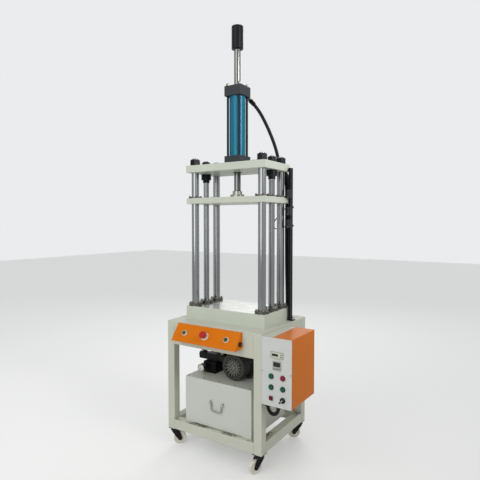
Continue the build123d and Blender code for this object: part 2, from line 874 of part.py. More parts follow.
control_panel.part.label = "control_panel"
export_step(control_panel.part, "parts/control_panel.step")

# Counter, timer and pilot lamp: a bezel in front of the panel, a body behind it
with BuildPart() as panel_displays:
    with BuildSketch(panel_face):
        with Locations(counter_place):
            RectangleRounded(counter_width, counter_height, 2)
        with Locations(timer_place):
            RectangleRounded(timer_side, timer_side, 2)
        with Locations(lamp_place):
            RectangleRounded(lamp_side, lamp_side, 2)
    extrude(amount=display_rise)
    with BuildSketch(panel_face):
        with Locations(counter_place):
            Rectangle(counter_width - 4 - display_fit, counter_height - 4 - display_fit)
        with Locations(timer_place):
            Rectangle(timer_side - 4 - display_fit, timer_side - 4 - display_fit)
        with Locations(lamp_place):
            Rectangle(lamp_side - 3 - display_fit, lamp_side - 3 - display_fit)
    extrude(amount=-display_depth / 2)
    with BuildSketch(panel_face.offset(display_rise)):
        with Locations((counter_place[0] - 8, counter_place[1] + 3)):
            Rectangle(counter_width * 0.6, counter_height * 0.45)
        with Locations((timer_place[0], timer_place[1] + timer_side * 0.2)):
            Rectangle(timer_side * 0.84, timer_side * 0.46)
    extrude(amount=-1, mode=Mode.SUBTRACT)
panel_displays.part.label = "panel_displays"
export_step(panel_displays.part, "parts/panel_displays.step")

# Bezels of all the buttons, each with a threaded barrel behind its panel
stem_bore_r = button_stem_d / 2 + run_gap
barrel_r = panel_hole_d / 2 - 0.2
pocket_floor = 1
stop_bore_r = stop_stem_d / 2 + run_gap
slope_buttons = [(-button_spread, 0), (button_spread, 0)]
with BuildPart() as button_bezels:
    with BuildSketch(slope_plane):
        with Locations(*slope_buttons):
            Circle(bezel_d / 2)
    extrude(amount=bezel_rise)
    with BuildSketch(slope_plane):
        Circle(stop_ring_d / 2)
    extrude(amount=stop_ring_rise)
    with BuildSketch(slope_plane):
        with Locations(*slope_buttons, (0, 0)):
            Circle(barrel_r)
    extrude(amount=-button_depth)
    with BuildSketch(slope_plane.offset(pocket_floor)):
        with Locations(*slope_buttons):
            Circle(cap_d / 2 + body_gap)
    extrude(amount=bezel_rise, mode=Mode.SUBTRACT)
    with BuildSketch(slope_plane.offset(-button_depth)):
        with Locations(*slope_buttons):
            Circle(stem_bore_r)
        Circle(stop_bore_r)
    extrude(amount=button_depth + stop_ring_rise, mode=Mode.SUBTRACT)
    with BuildSketch(panel_face):
        with Locations(*button_places.values(), selector_place):
            Circle(panel_bezel_d / 2)
    extrude(amount=panel_bezel_rise)
    with BuildSketch(panel_face):
        with Locations(*button_places.values(), selector_place):
            Circle(barrel_r)
    extrude(amount=-button_depth)
    with BuildSketch(panel_face.offset(pocket_floor)):
        with Locations(*button_places.values(), selector_place):
            Circle(panel_cap_d / 2 + body_gap)
    extrude(amount=panel_bezel_rise, mode=Mode.SUBTRACT)
    with BuildSketch(panel_face.offset(-button_depth)):
        with Locations(*button_places.values(), selector_place):
            Circle(stem_bore_r)
    extrude(amount=button_depth + panel_bezel_rise, mode=Mode.SUBTRACT)
button_bezels.part.label = "button_bezels"
export_step(button_bezels.part, "parts/button_bezels.step")


def push_cap(plane, place, radius, height, travel):
    """A push button: a disc over a stem that runs in its bezel."""
    floor = pocket_floor + body_gap + travel
    with BuildPart() as cap:
        with BuildSketch(plane.offset(floor)):
            with Locations(place):
                Circle(radius)
        extrude(amount=height)
        top = cap.faces().sort_by(Axis((0, 0, 0), plane.z_dir))[-1]
        chamfer(top.edges(), 0.8)
        with BuildSketch(plane.offset(floor)):
            with Locations(place):
                Circle(button_stem_d / 2)
        extrude(amount=-(floor + button_depth))
    return cap.part


left_button = push_cap(slope_plane, slope_buttons[0], cap_d / 2, cap_height, button_travel)
left_button.label = "left_button"
export_step(left_button, "parts/left_button.step")

right_button = push_cap(slope_plane, slope_buttons[1], cap_d / 2, cap_height, button_travel)
right_button.label = "right_button"
export_step(right_button, "parts/right_button.step")

for name, place in button_places.items():
    panel_button = push_cap(panel_face, place, panel_cap_d / 2, panel_cap_height, panel_travel)
    panel_button.label = name
    export_step(panel_button, f"parts/{name}.step")

# Stop button: a rounded mushroom head on a stem
with BuildPart() as stop_button:
    with BuildSketch(slope_plane.offset(stop_head_top - stop_head_height)):
        Circle(stop_head_d / 2)
    extrude(amount=stop_head_height)
    fillet(stop_button.faces().sort_by(Axis((0, 0, 0), slope_plane.z_dir))[-1].edges(), stop_head_round)
    with BuildSketch(slope_plane.offset(-button_depth)):
        Circle(stop_stem_d / 2)
    extrude(amount=button_depth + stop_head_top - stop_head_height)
stop_button.part.label = "stop_button"
export_step(stop_button.part, "parts/stop_button.step")

# Selector knob: a disc with a lever across it, and a stem in its bezel
selector_plane = panel_face.offset(pocket_floor + body_gap)
with BuildPart() as selector_knob:
    with BuildSketch(selector_plane):
        with Locations(selector_place):
            Circle(panel_cap_d / 2)
    extrude(amount=7)
    with BuildSketch(selector_plane.offset(7)):
        with Locations(Location(selector_place, 45)):
            SlotOverall(selector_lever, selector_lever_width)
    extrude(amount=12)
    with BuildSketch(selector_plane):
        with Locations(selector_place):
            Circle(button_stem_d / 2)
    extrude(amount=-button_depth)
selector_knob.part.label = "selector_knob"
export_step(selector_knob.part, "parts/selector_knob.step")

# Oil tank: a welded sheet box with two lugs for its handle
handle_z = tank_bottom + handle_height
lug_x = handle_width / 2 + handle_elbow + lug_thickness / 2 + body_gap
pin_bore_r = handle_bar_d / 2 + run_gap
pin_y = tank_front - lug_out / 2 - 1
with BuildPart() as oil_tank:
    with BuildSketch(Plane((tank_x, tank_front + tank_depth / 2, tank_bottom))):
        RectangleRounded(tank_width, tank_depth, tank_wall)
    extrude(amount=tank_height)
    with BuildSketch(Plane((tank_x, tank_front + tank_depth / 2, tank_bottom + tank_wall))):
        Rectangle(tank_width - 2 * tank_wall, tank_depth - 2 * tank_wall)
    extrude(amount=tank_height, mode=Mode.SUBTRACT)
    for side in (-1, 1):
        with BuildSketch(around_x(tank_x + side * lug_x)):
            with Locations((tank_front - lug_out / 2, handle_z)):
                Rectangle(lug_out, 18)
            with Locations((pin_y, handle_z)):
                Circle(pin_bore_r, mode=Mode.SUBTRACT)
        extrude(amount=lug_thickness / 2, both=True)
oil_tank.part.label = "oil_tank"
export_step(oil_tank.part, "parts/oil_tank.step")

# Drop handle: a bar bent to a U whose ends turn outwards into the lugs
bar_x = handle_width / 2
handle_pivot = Plane((tank_x, pin_y, handle_z), x_dir=(1, 0, 0), z_dir=(0, -1, 0))
with BuildPart() as tank_handle:
    with BuildLine(handle_pivot):
        FilletPolyline(
            (-bar_x - handle_pin_length, 0),
            (-bar_x, 0),
            (-bar_x, -handle_drop),
            (bar_x, -handle_drop),
            (bar_x, 0),
            (bar_x + handle_pin_length, 0),
            radius=[handle_elbow, handle_bend, handle_bend, handle_elbow],
        )
    with BuildSketch(around_x(tank_x - bar_x - handle_pin_length)):
        with Locations((pin_y, handle_z)):
            Circle(handle_bar_d / 2)
    sweep()
tank_handle.part.label = "tank_handle"
export_step(tank_handle.part, "parts/tank_handle.step")

# Tank lid, with the filler breather near its right edge
breather_x = tank_x + tank_width / 2 - breather_from_right
breather_y = tank_front + breather_from_front
with BuildPart() as tank_lid:
    with BuildSketch(Plane((tank_x, tank_front + tank_depth / 2, tank_top))):
        RectangleRounded(tank_width, tank_depth, tank_wall)
    extrude(amount=tank_lid_thickness)
    with BuildSketch(Plane((breather_x, breather_y, lid_top))):
        Circle(breather_neck_d / 2)
    extrude(amount=breather_neck_height)
    with BuildSketch(Plane((breather_x, breather_y, lid_top + breather_neck_height))):
        Circle(breather_cap_d / 2)
    extrude(amount=breather_cap_height)
    chamfer(tank_lid.faces().sort_by(Axis.Z)[-1].edges(), 4)
tank_lid.part.label = "tank_lid"
export_step(tank_lid.part, "parts/tank_lid.step")

# Motor housing: a finned barrel on two feet, with end shields and a terminal box
motor_core_r = motor_d / 2 - motor_fin_depth
shaft_bore_r = motor_shaft_d / 2 + run_gap
with BuildPart() as motor_housing:
    with BuildSketch(facing_front(motor_x, motor_back, motor_z)):
        Circle(motor_core_r)
        with PolarLocations(motor_core_r + motor_fin_depth / 2 - 2, motor_fins):
            Rectangle(motor_fin_depth + 4, 3.5)
    extrude(amount=motor_length)
    for shield_y, shield_d in ((motor_front + motor_shield, fan_cover_d), (motor_back, motor_d)):
        with BuildSketch(facing_front(motor_x, shield_y, motor_z)):
            Circle(shield_d / 2)
        extrude(amount=motor_shield)
    with BuildSketch(Plane((motor_x, (motor_front + motor_back) / 2, lid_top))):
        with Locations((-motor_foot_spread / 2, 0), (motor_foot_spread / 2, 0)):
            Rectangle(34, 110)
    extrude(amount=10)
    with BuildSketch(Plane((motor_x, (motor_front + motor_back) / 2, lid_top))):
        with Locations((-motor_foot_spread / 2 + 6, 0), (motor_foot_spread / 2 - 6, 0)):
            Rectangle(12, 96)
    extrude(amount=motor_height - motor_core_r * 0.55)
    terminal_y = motor_front + terminal_box_from_front
    with BuildSketch(Plane((motor_x, terminal_y, motor_z + motor_core_r - 6))):
        Rectangle(terminal_box_width, terminal_box_length)
    extrude(amount=terminal_box_height)
    with BuildSketch(facing_front(motor_x, motor_back, motor_z)):
        Circle(shaft_bore_r)
    extrude(amount=motor_length, mode=Mode.SUBTRACT)
motor_housing.part.label = "motor_housing"
export_step(motor_housing.part, "parts/motor_housing.step")

# Fan cover: a pressed cup with rings of air slots in its face
fan_front = motor_front - fan_cover_length
with BuildPart() as fan_cover:
    with BuildSketch(facing_front(motor_x, motor_front, motor_z)):
        Circle(fan_cover_d / 2)
    extrude(amount=fan_cover_length)
    fillet(fan_cover.faces().sort_by(Axis.Y)[0].edges(), 8)
    offset(amount=-fan_cover_wall, openings=fan_cover.faces().sort_by(Axis.Y)[-1])
    with BuildSketch(facing_front(motor_x, fan_front + 2 * fan_cover_wall, motor_z)):
        with PolarLocations(44, 16):
            SlotOverall(26, 7)
        with PolarLocations(20, 8):
            SlotOverall(16, 6)
    extrude(amount=4 * fan_cover_wall, mode=Mode.SUBTRACT)
fan_cover.part.label = "fan_cover"
export_step(fan_cover.part, "parts/fan_cover.step")

# Motor rotor: the shaft and the cooling fan that shows through the cover
fan_y = motor_front - 8
with BuildPart() as motor_rotor:
    with BuildSketch(facing_front(motor_x, motor_back + pump_bell_length / 2, motor_z)):
        Circle(motor_shaft_d / 2)
    extrude(amount=motor_length + pump_bell_length / 2 + 34)
    with BuildSketch(facing_front(motor_x, fan_y, motor_z)):
        Circle(18)
    extrude(amount=24)
    with BuildSketch(facing_front(motor_x, fan_y, motor_z)):
        with PolarLocations(38, 7):
            Rectangle(48, 3)
    extrude(amount=22)
motor_rotor.part.label = "motor_rotor"
export_step(motor_rotor.part, "parts/motor_rotor.step")

# Pump: a bell housing on the motor's flange and a gear pump block behind it
with BuildPart() as pump_body:
    with BuildSketch(facing_front(motor_x, motor_back + 12, motor_z)):
        Circle(pump_flange_d / 2 - 12)
    extrude(amount=12)
    with BuildSketch(facing_front(motor_x, motor_back + pump_bell_length, motor_z)):
        Circle(50)
    extrude(amount=pump_bell_length - 12)
    pump_y = motor_back + pump_bell_length + pump_length / 2
    with BuildSketch(Plane((motor_x, pump_y, motor_z - pump_height / 2))):
        RectangleRounded(pump_width, pump_length, 8)
    extrude(amount=pump_height)
    with BuildSketch(facing_front(motor_x, motor_back + pump_bell_length / 2 + 6, motor_z)):
        Circle(motor_shaft_d / 2 + run_gap)
    extrude(amount=pump_bell_length, mode=Mode.SUBTRACT)
pump_body.part.label = "pump_body"
export_step(pump_body.part, "parts/pump_body.step")

# Valve manifold on the lid, with the hoses' ports in its rear face
manifold_back = manifold_y + manifold_depth / 2
port_dx = 22
with BuildPart() as valve_manifold:
    with BuildSketch(Plane((manifold_x, manifold_y, lid_top))):
        Rectangle(manifold_width, manifold_depth)
    extrude(amount=manifold_height)
    chamfer(valve_manifold.edges().filter_by(Axis.Z), 3)
    with BuildSketch(facing_front(manifold_x, manifold_back, lid_top + manifold_height / 2)):
        with Locations((-port_dx, 0), (port_dx, 0)):
            Circle(port_r)
    extrude(amount=18, mode=Mode.SUBTRACT)
valve_manifold.part.label = "valve_manifold"
export_step(valve_manifold.part, "parts/valve_manifold.step")

# Solenoid valve on the manifold: a body between two coils
valve_z = lid_top + manifold_height
with BuildPart() as solenoid_valve:
    with BuildSketch(Plane((manifold_x, manifold_y, valve_z))):
        Rectangle(valve_width, valve_depth)
    extrude(amount=valve_height)
    with BuildSketch(around_x(manifold_x)):
        with Locations((manifold_y, valve_z + valve_height / 2)):
            RectangleRounded(coil_d, coil_d, 8)
    extrude(amount=valve_width / 2 + coil_length, both=True)
    with BuildSketch(around_x(manifold_x)):
        with Locations((manifold_y, valve_z + valve_height / 2)):
            Circle(9)
    extrude(amount=valve_width / 2 + coil_length + 12, both=True)
solenoid_valve.part.label = "solenoid_valve"
export_step(solenoid_valve.part, "parts/solenoid_valve.step")

# Pressure gauge at the front of the manifold, on a short stem
gauge_x = manifold_x - manifold_width / 2 + 4
gauge_z = lid_top + manifold_height / 2 + 6
manifold_front = manifold_y - manifold_depth / 2
with BuildPart() as pressure_gauge:
    with BuildSketch(facing_front(gauge_x + 16, manifold_front, gauge_z)):
        RegularPolygon(8, 6)
    extrude(amount=24)
    with BuildSketch(facing_front(gauge_x + 16, manifold_front - 24, gauge_z)):
        Circle(gauge_d / 2)
    extrude(amount=gauge_depth)
    with BuildSketch(facing_front(gauge_x + 16, manifold_front - 24 - gauge_depth, gauge_z)):
        Circle(gauge_d / 2 - 4)
    extrude(amount=-4, mode=Mode.SUBTRACT)
pressure_gauge.part.label = "pressure_gauge"
export_step(pressure_gauge.part, "parts/pressure_gauge.step")

# Hose fittings: an elbow on each cap port and two straight ones on the manifold
elbow_r = hose_elbow_d / 2
elbow_out = 30
fitting_length = 26
down_right = radians(45)
upper_elbow = Vector(press_x, cap_back + elbow_out, upper_port_z)
upper_way = Vector(cos(down_right), 0, -sin(down_right))
lower_elbow = Vector(press_x, cap_back + elbow_out, lower_port_z)
lower_way = Vector(1, 0, 0)
manifold_port_z = lid_top + manifold_height / 2


def swivel_elbow(corner, way):
    """A hexagon elbow: a stem back into the cap, a knuckle and a ferrule along way."""
    with BuildPart() as elbow:
        with BuildSketch(Plane(corner, z_dir=(0, -1, 0))):
            RegularPolygon(elbow_r, 6)
        extrude(amount=elbow_out)
        with Locations(corner):
            Sphere(elbow_r)
        with BuildSketch(Plane(corner, z_dir=way)):
            Circle(elbow_r - 1)
        extrude(amount=elbow_out + fitting_length)
    return elbow.part


with BuildPart() as pipe_fittings:
    add(swivel_elbow(upper_elbow, upper_way))
    add(swivel_elbow(lower_elbow, lower_way))
    with BuildSketch(facing_front(manifold_x, manifold_back + fitting_length, manifold_port_z)):
        with Locations((-port_dx, 0), (port_dx, 0)):
            RegularPolygon(elbow_r, 6)
    extrude(amount=fitting_length)
pipe_fittings.part.label = "pipe_fittings"
export_step(pipe_fittings.part, "parts/pipe_fittings.step")

# Switch rail beside the crown: a slotted bar with a foot, a crown bracket and clips
rail_x = plate_right + switch_rail_gap + switch_rail_width / 2
rail_y = plate_back - 4 - switch_rail_depth / 2
rail_top_z = crown_top + switch_rail_above_crown
clip_size = 12
clip_heights = (slider_bottom - 21, slider_bottom - 131)
with BuildPart() as switch_rail:
    with BuildSketch(Plane((rail_x, rail_y, stand_top_z))):
        Rectangle(switch_rail_width, switch_rail_depth)
        with Locations((switch_rail_width / 2, 0)):
            Rectangle(8, switch_rail_slot, mode=Mode.SUBTRACT)
    extrude(amount=rail_top_z - stand_top_z)
    with BuildSketch(Plane((rail_x + 6, rail_y, stand_top_z))):
        Rectangle(switch_rail_width + 22, switch_rail_depth + 6)
    extrude(amount=6)
    bracket_inner = plate_right
    bracket_length = rail_x - bracket_inner
    with BuildSketch(Plane((bracket_inner + bracket_length / 2, rail_y, crown_bottom + 6))):
        Rectangle(bracket_length, 18)
    extrude(amount=12)
    with BuildSketch(facing_front(rail_x, rail_y + switch_rail_depth / 2, 0)):
        with Locations(*[(0, z) for z in clip_heights]):
            Rectangle(switch_rail_width, clip_size)
    extrude(amount=-clip_size)
switch_rail.part.label = "switch_rail"
export_step(switch_rail.part, "parts/switch_rail.step")

# Position switches on the front of the rail: each a block with a sensing tip
switch_w, switch_d, switch_h = switch_body
switch_front = rail_y - switch_rail_depth / 2
tip_gap = 2
dog_face = plate_right - slider_margin + dog_out
with BuildPart() as position_switches:
    for height in switch_heights:
        low_z = bed_top + height
        with BuildSketch(Plane((rail_x + 4, switch_front - switch_d / 2, low_z))):
            Rectangle(switch_w, switch_d)
        extrude(amount=switch_h)
        with BuildSketch(around_x(dog_face + tip_gap)):
            with Locations((dog_y, low_z + switch_h / 2)):
                Circle(6)
        extrude(amount=rail_x - dog_face - tip_gap)
position_switches.part.label = "position_switches"
export_step(position_switches.part, "parts/position_switches.step")


def cord_radii(points):
    """Bend radii of a cord through points, each from its shorter neighbouring run."""
    radii = []
    for before, corner, after in zip(points, points[1:], points[2:]):
        incoming = Vector(*corner) - Vector(*before)
        outgoing = Vector(*after) - Vector(*corner)
        turn = radians(incoming.get_angle(outgoing))
        radii.append(0.45 * min(incoming.length, outgoing.length) / tan(turn / 2))
    return radii


def cord(name, points, diameter):
    """A round cord: straight runs joined by tangent arcs."""
    radii = cord_radii(points)
    print(name, "radii", [round(r) for r in radii])
    with BuildPart() as strand:
        with BuildLine() as path:
            FilletPolyline(*points, radius=radii)
        first = Vector(*points[1]) - Vector(*points[0])
        with BuildSketch(Plane(points[0], z_dir=first)):
            Circle(diameter / 2)
        sweep(path=path.wires()[0])
    length = sum(edge.length for edge in path.edges())
    section = diameter * diameter * 0.7854
    print(name, "volume over section times length", round(strand.part.volume / (section * length), 4))
    return strand.part


# Hoses: from the cap elbows down behind the press, through the slot to the manifold
upper_end = upper_elbow + upper_way * (elbow_out + fitting_length)
lower_end = lower_elbow + lower_way * (elbow_out + fitting_length)
port_end_y = manifold_back + fitting_length
hose_a_x = hose_slot_x - 12
hose_b_x = hose_slot_x + 11
hose_y = plate_back + 43
hose_extend_points = [
    tuple(upper_end),
    tuple(upper_end + upper_way * 70),
    (press_x + 123, cap_back + 56, crown_top + 243),
    (press_x + 157, cap_back + 94, crown_top + 119),
    (press_x + 182, hose_y - 4, crown_top + 21),
    (hose_a_x - 5, hose_y, crown_bottom - 29),
    (hose_a_x - 1, hose_y, crown_bottom - 189),
    (hose_a_x - 3, hose_y, bed_top + 409),
    (hose_a_x - 1, hose_y + 2, bed_top + 199),
    (hose_a_x + 1, hose_slot_y - 2, stand_top_z + 115),
    (hose_a_x - 1, hose_slot_y, frame_top - 25),
    (hose_a_x - 36, hose_slot_y - 8, frame_top - 113),
    (motor_x + 25, hose_slot_y - 28, frame_top - 127),
    (motor_x - 75, hose_slot_y - 50, frame_top - 149),
    (manifold_x + 49, hose_slot_y - 90, manifold_port_z + 73),
    (manifold_x + port_dx, port_end_y + 64, manifold_port_z),
    (manifold_x + port_dx, port_end_y, manifold_port_z),
]
hose_retract_points = [
    tuple(lower_end),
    tuple(lower_end + lower_way * 60),
    (press_x + 199, plate_back + 16, crown_top + 16),
    (hose_b_x - 6, plate_back + 37, crown_bottom - 29),
    (hose_b_x - 2, plate_back + 39, crown_bottom - 169),
    (hose_b_x - 4, plate_back + 39, bed_top + 429),
    (hose_b_x - 3, plate_back + 42, bed_top + 219),
    (hose_b_x - 1, hose_slot_y - 3, stand_top_z + 125),
    (hose_b_x, hose_slot_y, frame_top - 15),
    (hose_b_x - 36, hose_slot_y + 6, frame_top - 139),
    (motor_x + 45, hose_slot_y - 4, frame_top - 159),
    (motor_x - 55, hose_slot_y - 26, frame_top - 171),
    (manifold_x + 42, hose_slot_y - 60, manifold_port_z + 73),
    (manifold_x - port_dx, port_end_y + 94, manifold_port_z),
    (manifold_x - port_dx, port_end_y, manifold_port_z),
]
hose_extend = cord("hose_extend", hose_extend_points, hose_d)
hose_extend.label = "hose_extend"
export_step(hose_extend, "parts/hose_extend.step")

hose_retract = cord("hose_retract", hose_retract_points, hose_d)
hose_retract.label = "hose_retract"
export_step(hose_retract, "parts/hose_retract.step")

# Switch cable: a slack loop between the two clips behind the rail
cable_y = rail_y + switch_rail_depth / 2 + clip_size / 2 + 2
cable_x = rail_x - switch_rail_width / 2
upper_clip_z, lower_clip_z = clip_heights
cable_points = [
    (cable_x, cable_y, upper_clip_z),
    (cable_x - 37, cable_y, upper_clip_z),
    (cable_x - 79, cable_y + 9, upper_clip_z - 40),
    (cable_x - 119, cable_y + 14, upper_clip_z - 78),
    (cable_x - 139, cable_y + 16, lower_clip_z - 2),
    (cable_x - 113, cable_y + 16, lower_clip_z - 24),
    (cable_x - 67, cable_y + 10, lower_clip_z - 16),
    (cable_x - 29, cable_y, lower_clip_z),
    (cable_x, cable_y, lower_clip_z),
]
switch_cable = cord("switch_cable", cable_points, cable_d)
switch_cable.label = "switch_cable"
export_step(switch_cable, "parts/switch_cable.step")

# Conduit: a tight loop from the control box's floor up into the bracket
loop_mid = (conduit_near_x + conduit_far_x) / 2
loop_half = (conduit_far_x - conduit_near_x) / 2
conduit_points = [
    (conduit_near_x, conduit_y, control_bottom + 2),
    (conduit_near_x, conduit_y, control_bottom - 23),
    (conduit_near_x + 13, conduit_y, control_bottom - 45),
    (loop_mid, conduit_y, control_bottom - 53),
    (conduit_far_x - 13, conduit_y, control_bottom - 45),
    (conduit_far_x, conduit_y, control_bottom - 23),
    (conduit_far_x, conduit_y, control_bottom + 2),
]
conduit = cord("conduit", conduit_points, conduit_d)
conduit.label = "conduit"
export_step(conduit, "parts/conduit.step")

# Glands: a ring nut on each end of the conduit and a plug in the button box's end
gland_nut_d = 30
gland_nut_height = 12
with BuildPart() as cable_glands:
    with BuildSketch(Plane((0, conduit_y, control_bottom))):
        with Locations((conduit_near_x, 0), (conduit_far_x, 0)):
            Circle(gland_nut_d / 2)
            Circle(conduit_d / 2 + seat_gap, mode=Mode.SUBTRACT)
    extrude(amount=-gland_nut_height)
    with BuildSketch(around_x(box_right)):
        with Locations(box_gland_place):
            Circle(13)
    extrude(amount=6)
    with BuildSketch(around_x(box_right)):
        with Locations(box_gland_place):
            Circle(gland_hole_r - seat_gap)
    extrude(amount=-8)
cable_glands.part.label = "cable_glands"
export_step(cable_glands.part, "parts/cable_glands.step")

# Caster heights, from the wheel up to the mounting plate
wheel_z = wheel_d / 2
plate_z = caster_height - caster_plate_thickness
boss_height = 4
boss_z = plate_z - boss_height
raceway_z = boss_z - body_gap - raceway_height
fork_crown_z = raceway_z - fork_sheet
pin_head_z = fork_crown_z - body_gap - kingpin_head
corner_x = stand_width / 2 - caster_inset
corner_y = stand_depth / 2 - caster_inset
caster_places = {
    "front_left": (stand_x - corner_x, stand_y - corner_y, -139),
    "front_right": (stand_x + corner_x, stand_y - corner_y, 62),
    "rear_left": (stand_x - corner_x, stand_y + corner_y, 158),
    "rear_right": (stand_x + corner_x, stand_y + corner_y, 35),
}

# Caster plates under the four posts, each with its bearing boss and kingpin
with BuildPart() as caster_plates:
    with BuildSketch(Plane((stand_x, stand_y, plate_z))):
        with GridLocations(2 * corner_x, 2 * corner_y, 2, 2):
            RectangleRounded(caster_plate, caster_plate, 5)
    extrude(amount=caster_plate_thickness)
    with BuildSketch(Plane((stand_x, stand_y, boss_z))):
        with GridLocations(2 * corner_x, 2 * corner_y, 2, 2):
            Circle(bearing_boss_d / 2)
    extrude(amount=boss_height)
    with BuildSketch(Plane((stand_x, stand_y, pin_head_z))):
        with GridLocations(2 * corner_x, 2 * corner_y, 2, 2):
            Circle(kingpin_d / 2)
    extrude(amount=boss_z - pin_head_z)
    with BuildSketch(Plane((stand_x, stand_y, pin_head_z))):
        with GridLocations(2 * corner_x, 2 * corner_y, 2, 2):
            RegularPolygon(kingpin_head_d / 2, 6)
    extrude(amount=kingpin_head)
caster_plates.part.label = "caster_plates"
export_step(caster_plates.part, "parts/caster_plates.step")

# One fork: a raceway cup and crown over two legs, with the wheel's axle across them
with BuildPart() as fork:
    with BuildSketch(Plane.XY.offset(raceway_z)):
        Circle(raceway_d / 2)
    extrude(amount=raceway_height)
    with BuildSketch(Plane.XY.offset(fork_crown_z)):
        Circle(fork_crown_d / 2)
    extrude(amount=fork_sheet)
    for side in (-1, 1):
        inner_y = side * fork_gap / 2
        with BuildSketch(Plane((0, inner_y, 0), x_dir=(1, 0, 0), z_dir=(0, -1, 0))):
            with BuildLine():
                Polyline(
                    (-fork_crown_d * 0.4, fork_crown_z + fork_sheet),
                    (fork_crown_d * 0.36, fork_crown_z + fork_sheet),
                    (fork_crown_d * 0.36, fork_crown_z - 5),
                    (-caster_trail + fork_lobe_r * 0.9, wheel_z - fork_lobe_r * 0.4),
                    (-caster_trail - fork_lobe_r * 0.9, wheel_z - fork_lobe_r * 0.4),
                    (-caster_trail - fork_lobe_r, wheel_z + 6),
                    close=True,
                )
            make_face()
            with Locations((-caster_trail, wheel_z)):
                Circle(fork_lobe_r)
        extrude(amount=-side * fork_sheet)
    axle_half = fork_gap / 2 + fork_sheet + axle_head
    with BuildSketch(Plane((-caster_trail, 0, wheel_z), x_dir=(1, 0, 0), z_dir=(0, -1, 0))):
        Circle(axle_d / 2)
    extrude(amount=axle_half, both=True)
    for side in (-1, 1):
        outer_y = side * (fork_gap / 2 + fork_sheet)
        with BuildSketch(Plane((-caster_trail, outer_y, wheel_z), x_dir=(1, 0, 0), z_dir=(0, -1, 0))):
            RegularPolygon(axle_d * 0.85, 6)
        extrude(amount=-side * axle_head)
    with BuildSketch(Plane.XY.offset(fork_crown_z)):
        Circle(kingpin_d / 2 + pin_gap)
    extrude(amount=fork_sheet + raceway_height, mode=Mode.SUBTRACT)

# One wheel: a rounded tyre round a recessed web and a hub
hub_half = fork_gap / 2 - body_gap
rim_half = wheel_width / 2
web_half = rim_half - hub_recess
with BuildPart() as wheel:
    with BuildSketch(Plane.XY):
        with BuildLine():
            Polyline(
                (axle_d / 2 + run_gap, -hub_half),
                (hub_d / 2, -hub_half),
                (hub_d / 2, -web_half),
                (wheel_d / 2 - 9, -web_half),
                (wheel_d / 2 - 8, -rim_half),
                (wheel_d / 2 - 3, -rim_half),
                (wheel_d / 2, -rim_half + 4),
                (wheel_d / 2, rim_half - 4),
                (wheel_d / 2 - 3, rim_half),
                (wheel_d / 2 - 8, rim_half),
                (wheel_d / 2 - 9, web_half),
                (hub_d / 2, web_half),
                (hub_d / 2, hub_half),
                (axle_d / 2 + run_gap, hub_half),
                close=True,
            )
        make_face()
    revolve(axis=Axis.Y)
wheel_in_fork = wheel.part.moved(Location((-caster_trail, 0, wheel_z)))

for name, (place_x, place_y, turn) in caster_places.items():
    place = Location((place_x, place_y, 0), (0, 0, turn))
    caster_fork = fork.part.moved(place)
    caster_fork.label = f"fork_{name}"
    export_step(caster_fork, f"parts/fork_{name}.step")
    caster_wheel = wheel_in_fork.moved(place)
    caster_wheel.label = f"wheel_{name}"
    export_step(caster_wheel, f"parts/wheel_{name}.step")
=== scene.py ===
# %% [markdown]
# # Dressing a four-column hydraulic press
#
# The CAD model gives every plate, column, button and caster its true size and place.
# This notebook leaves those solids where they are and adds what paint, steel, rubber and
# plastic need to look real: finishes made of noise, hoses that hang as smooth curves, the
# open frame of the stand, screw heads, weld beads, a dial and screens.

import bmesh
import bpy
import numpy as np
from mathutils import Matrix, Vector


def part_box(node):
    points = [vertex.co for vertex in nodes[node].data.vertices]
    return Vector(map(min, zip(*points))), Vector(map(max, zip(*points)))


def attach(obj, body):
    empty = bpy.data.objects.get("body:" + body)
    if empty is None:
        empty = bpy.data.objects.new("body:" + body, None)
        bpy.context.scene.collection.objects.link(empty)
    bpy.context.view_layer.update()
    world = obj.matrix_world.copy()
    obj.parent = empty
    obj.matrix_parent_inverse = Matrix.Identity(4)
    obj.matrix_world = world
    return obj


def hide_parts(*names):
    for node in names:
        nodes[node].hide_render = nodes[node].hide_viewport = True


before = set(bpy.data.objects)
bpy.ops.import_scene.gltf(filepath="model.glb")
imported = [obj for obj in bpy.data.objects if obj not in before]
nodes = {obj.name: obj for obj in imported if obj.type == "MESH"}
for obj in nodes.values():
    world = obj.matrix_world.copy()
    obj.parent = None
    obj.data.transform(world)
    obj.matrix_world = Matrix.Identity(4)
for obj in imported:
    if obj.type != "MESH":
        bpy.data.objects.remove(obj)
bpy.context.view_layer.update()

# %% [markdown]
# ## Where things are
#
# A CAD node's place is in its vertices, so its box tells where the next piece has to sit.
# Reading the boxes keeps every added screw and bead on the piece that carries it.

# %% Corners and middles of the CAD nodes


def low(node):
    """Lowest corner of a node, as an array in metres."""
    return np.array(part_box(node)[0])


def high(node):
    """Highest corner of a node, as an array in metres."""
    return np.array(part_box(node)[1])


def middle(node):
    """Middle of a node's box, as an array in metres."""
    return (low(node) + high(node)) / 2


stand_low, stand_high = low("stand_frame"), high("stand_frame")
print("bed height", round(float(high("bed_plate")[2]), 3))

# %% [markdown]
# ## Surfaces from arrays
#
# A surface is a function of two parameters, so its points fill a grid. The helper takes
# such grids, one per copy, and joins neighbouring points into quads in one mesh. Points
# that fall together, as at a pole, are merged, and the normals are turned outwards.

# %% Grids of points become one mesh


def linked(name, data):
    """A new object with this data, linked to the scene."""
    thing = bpy.data.objects.new(name, data)
    bpy.context.scene.collection.objects.link(thing)
    return thing


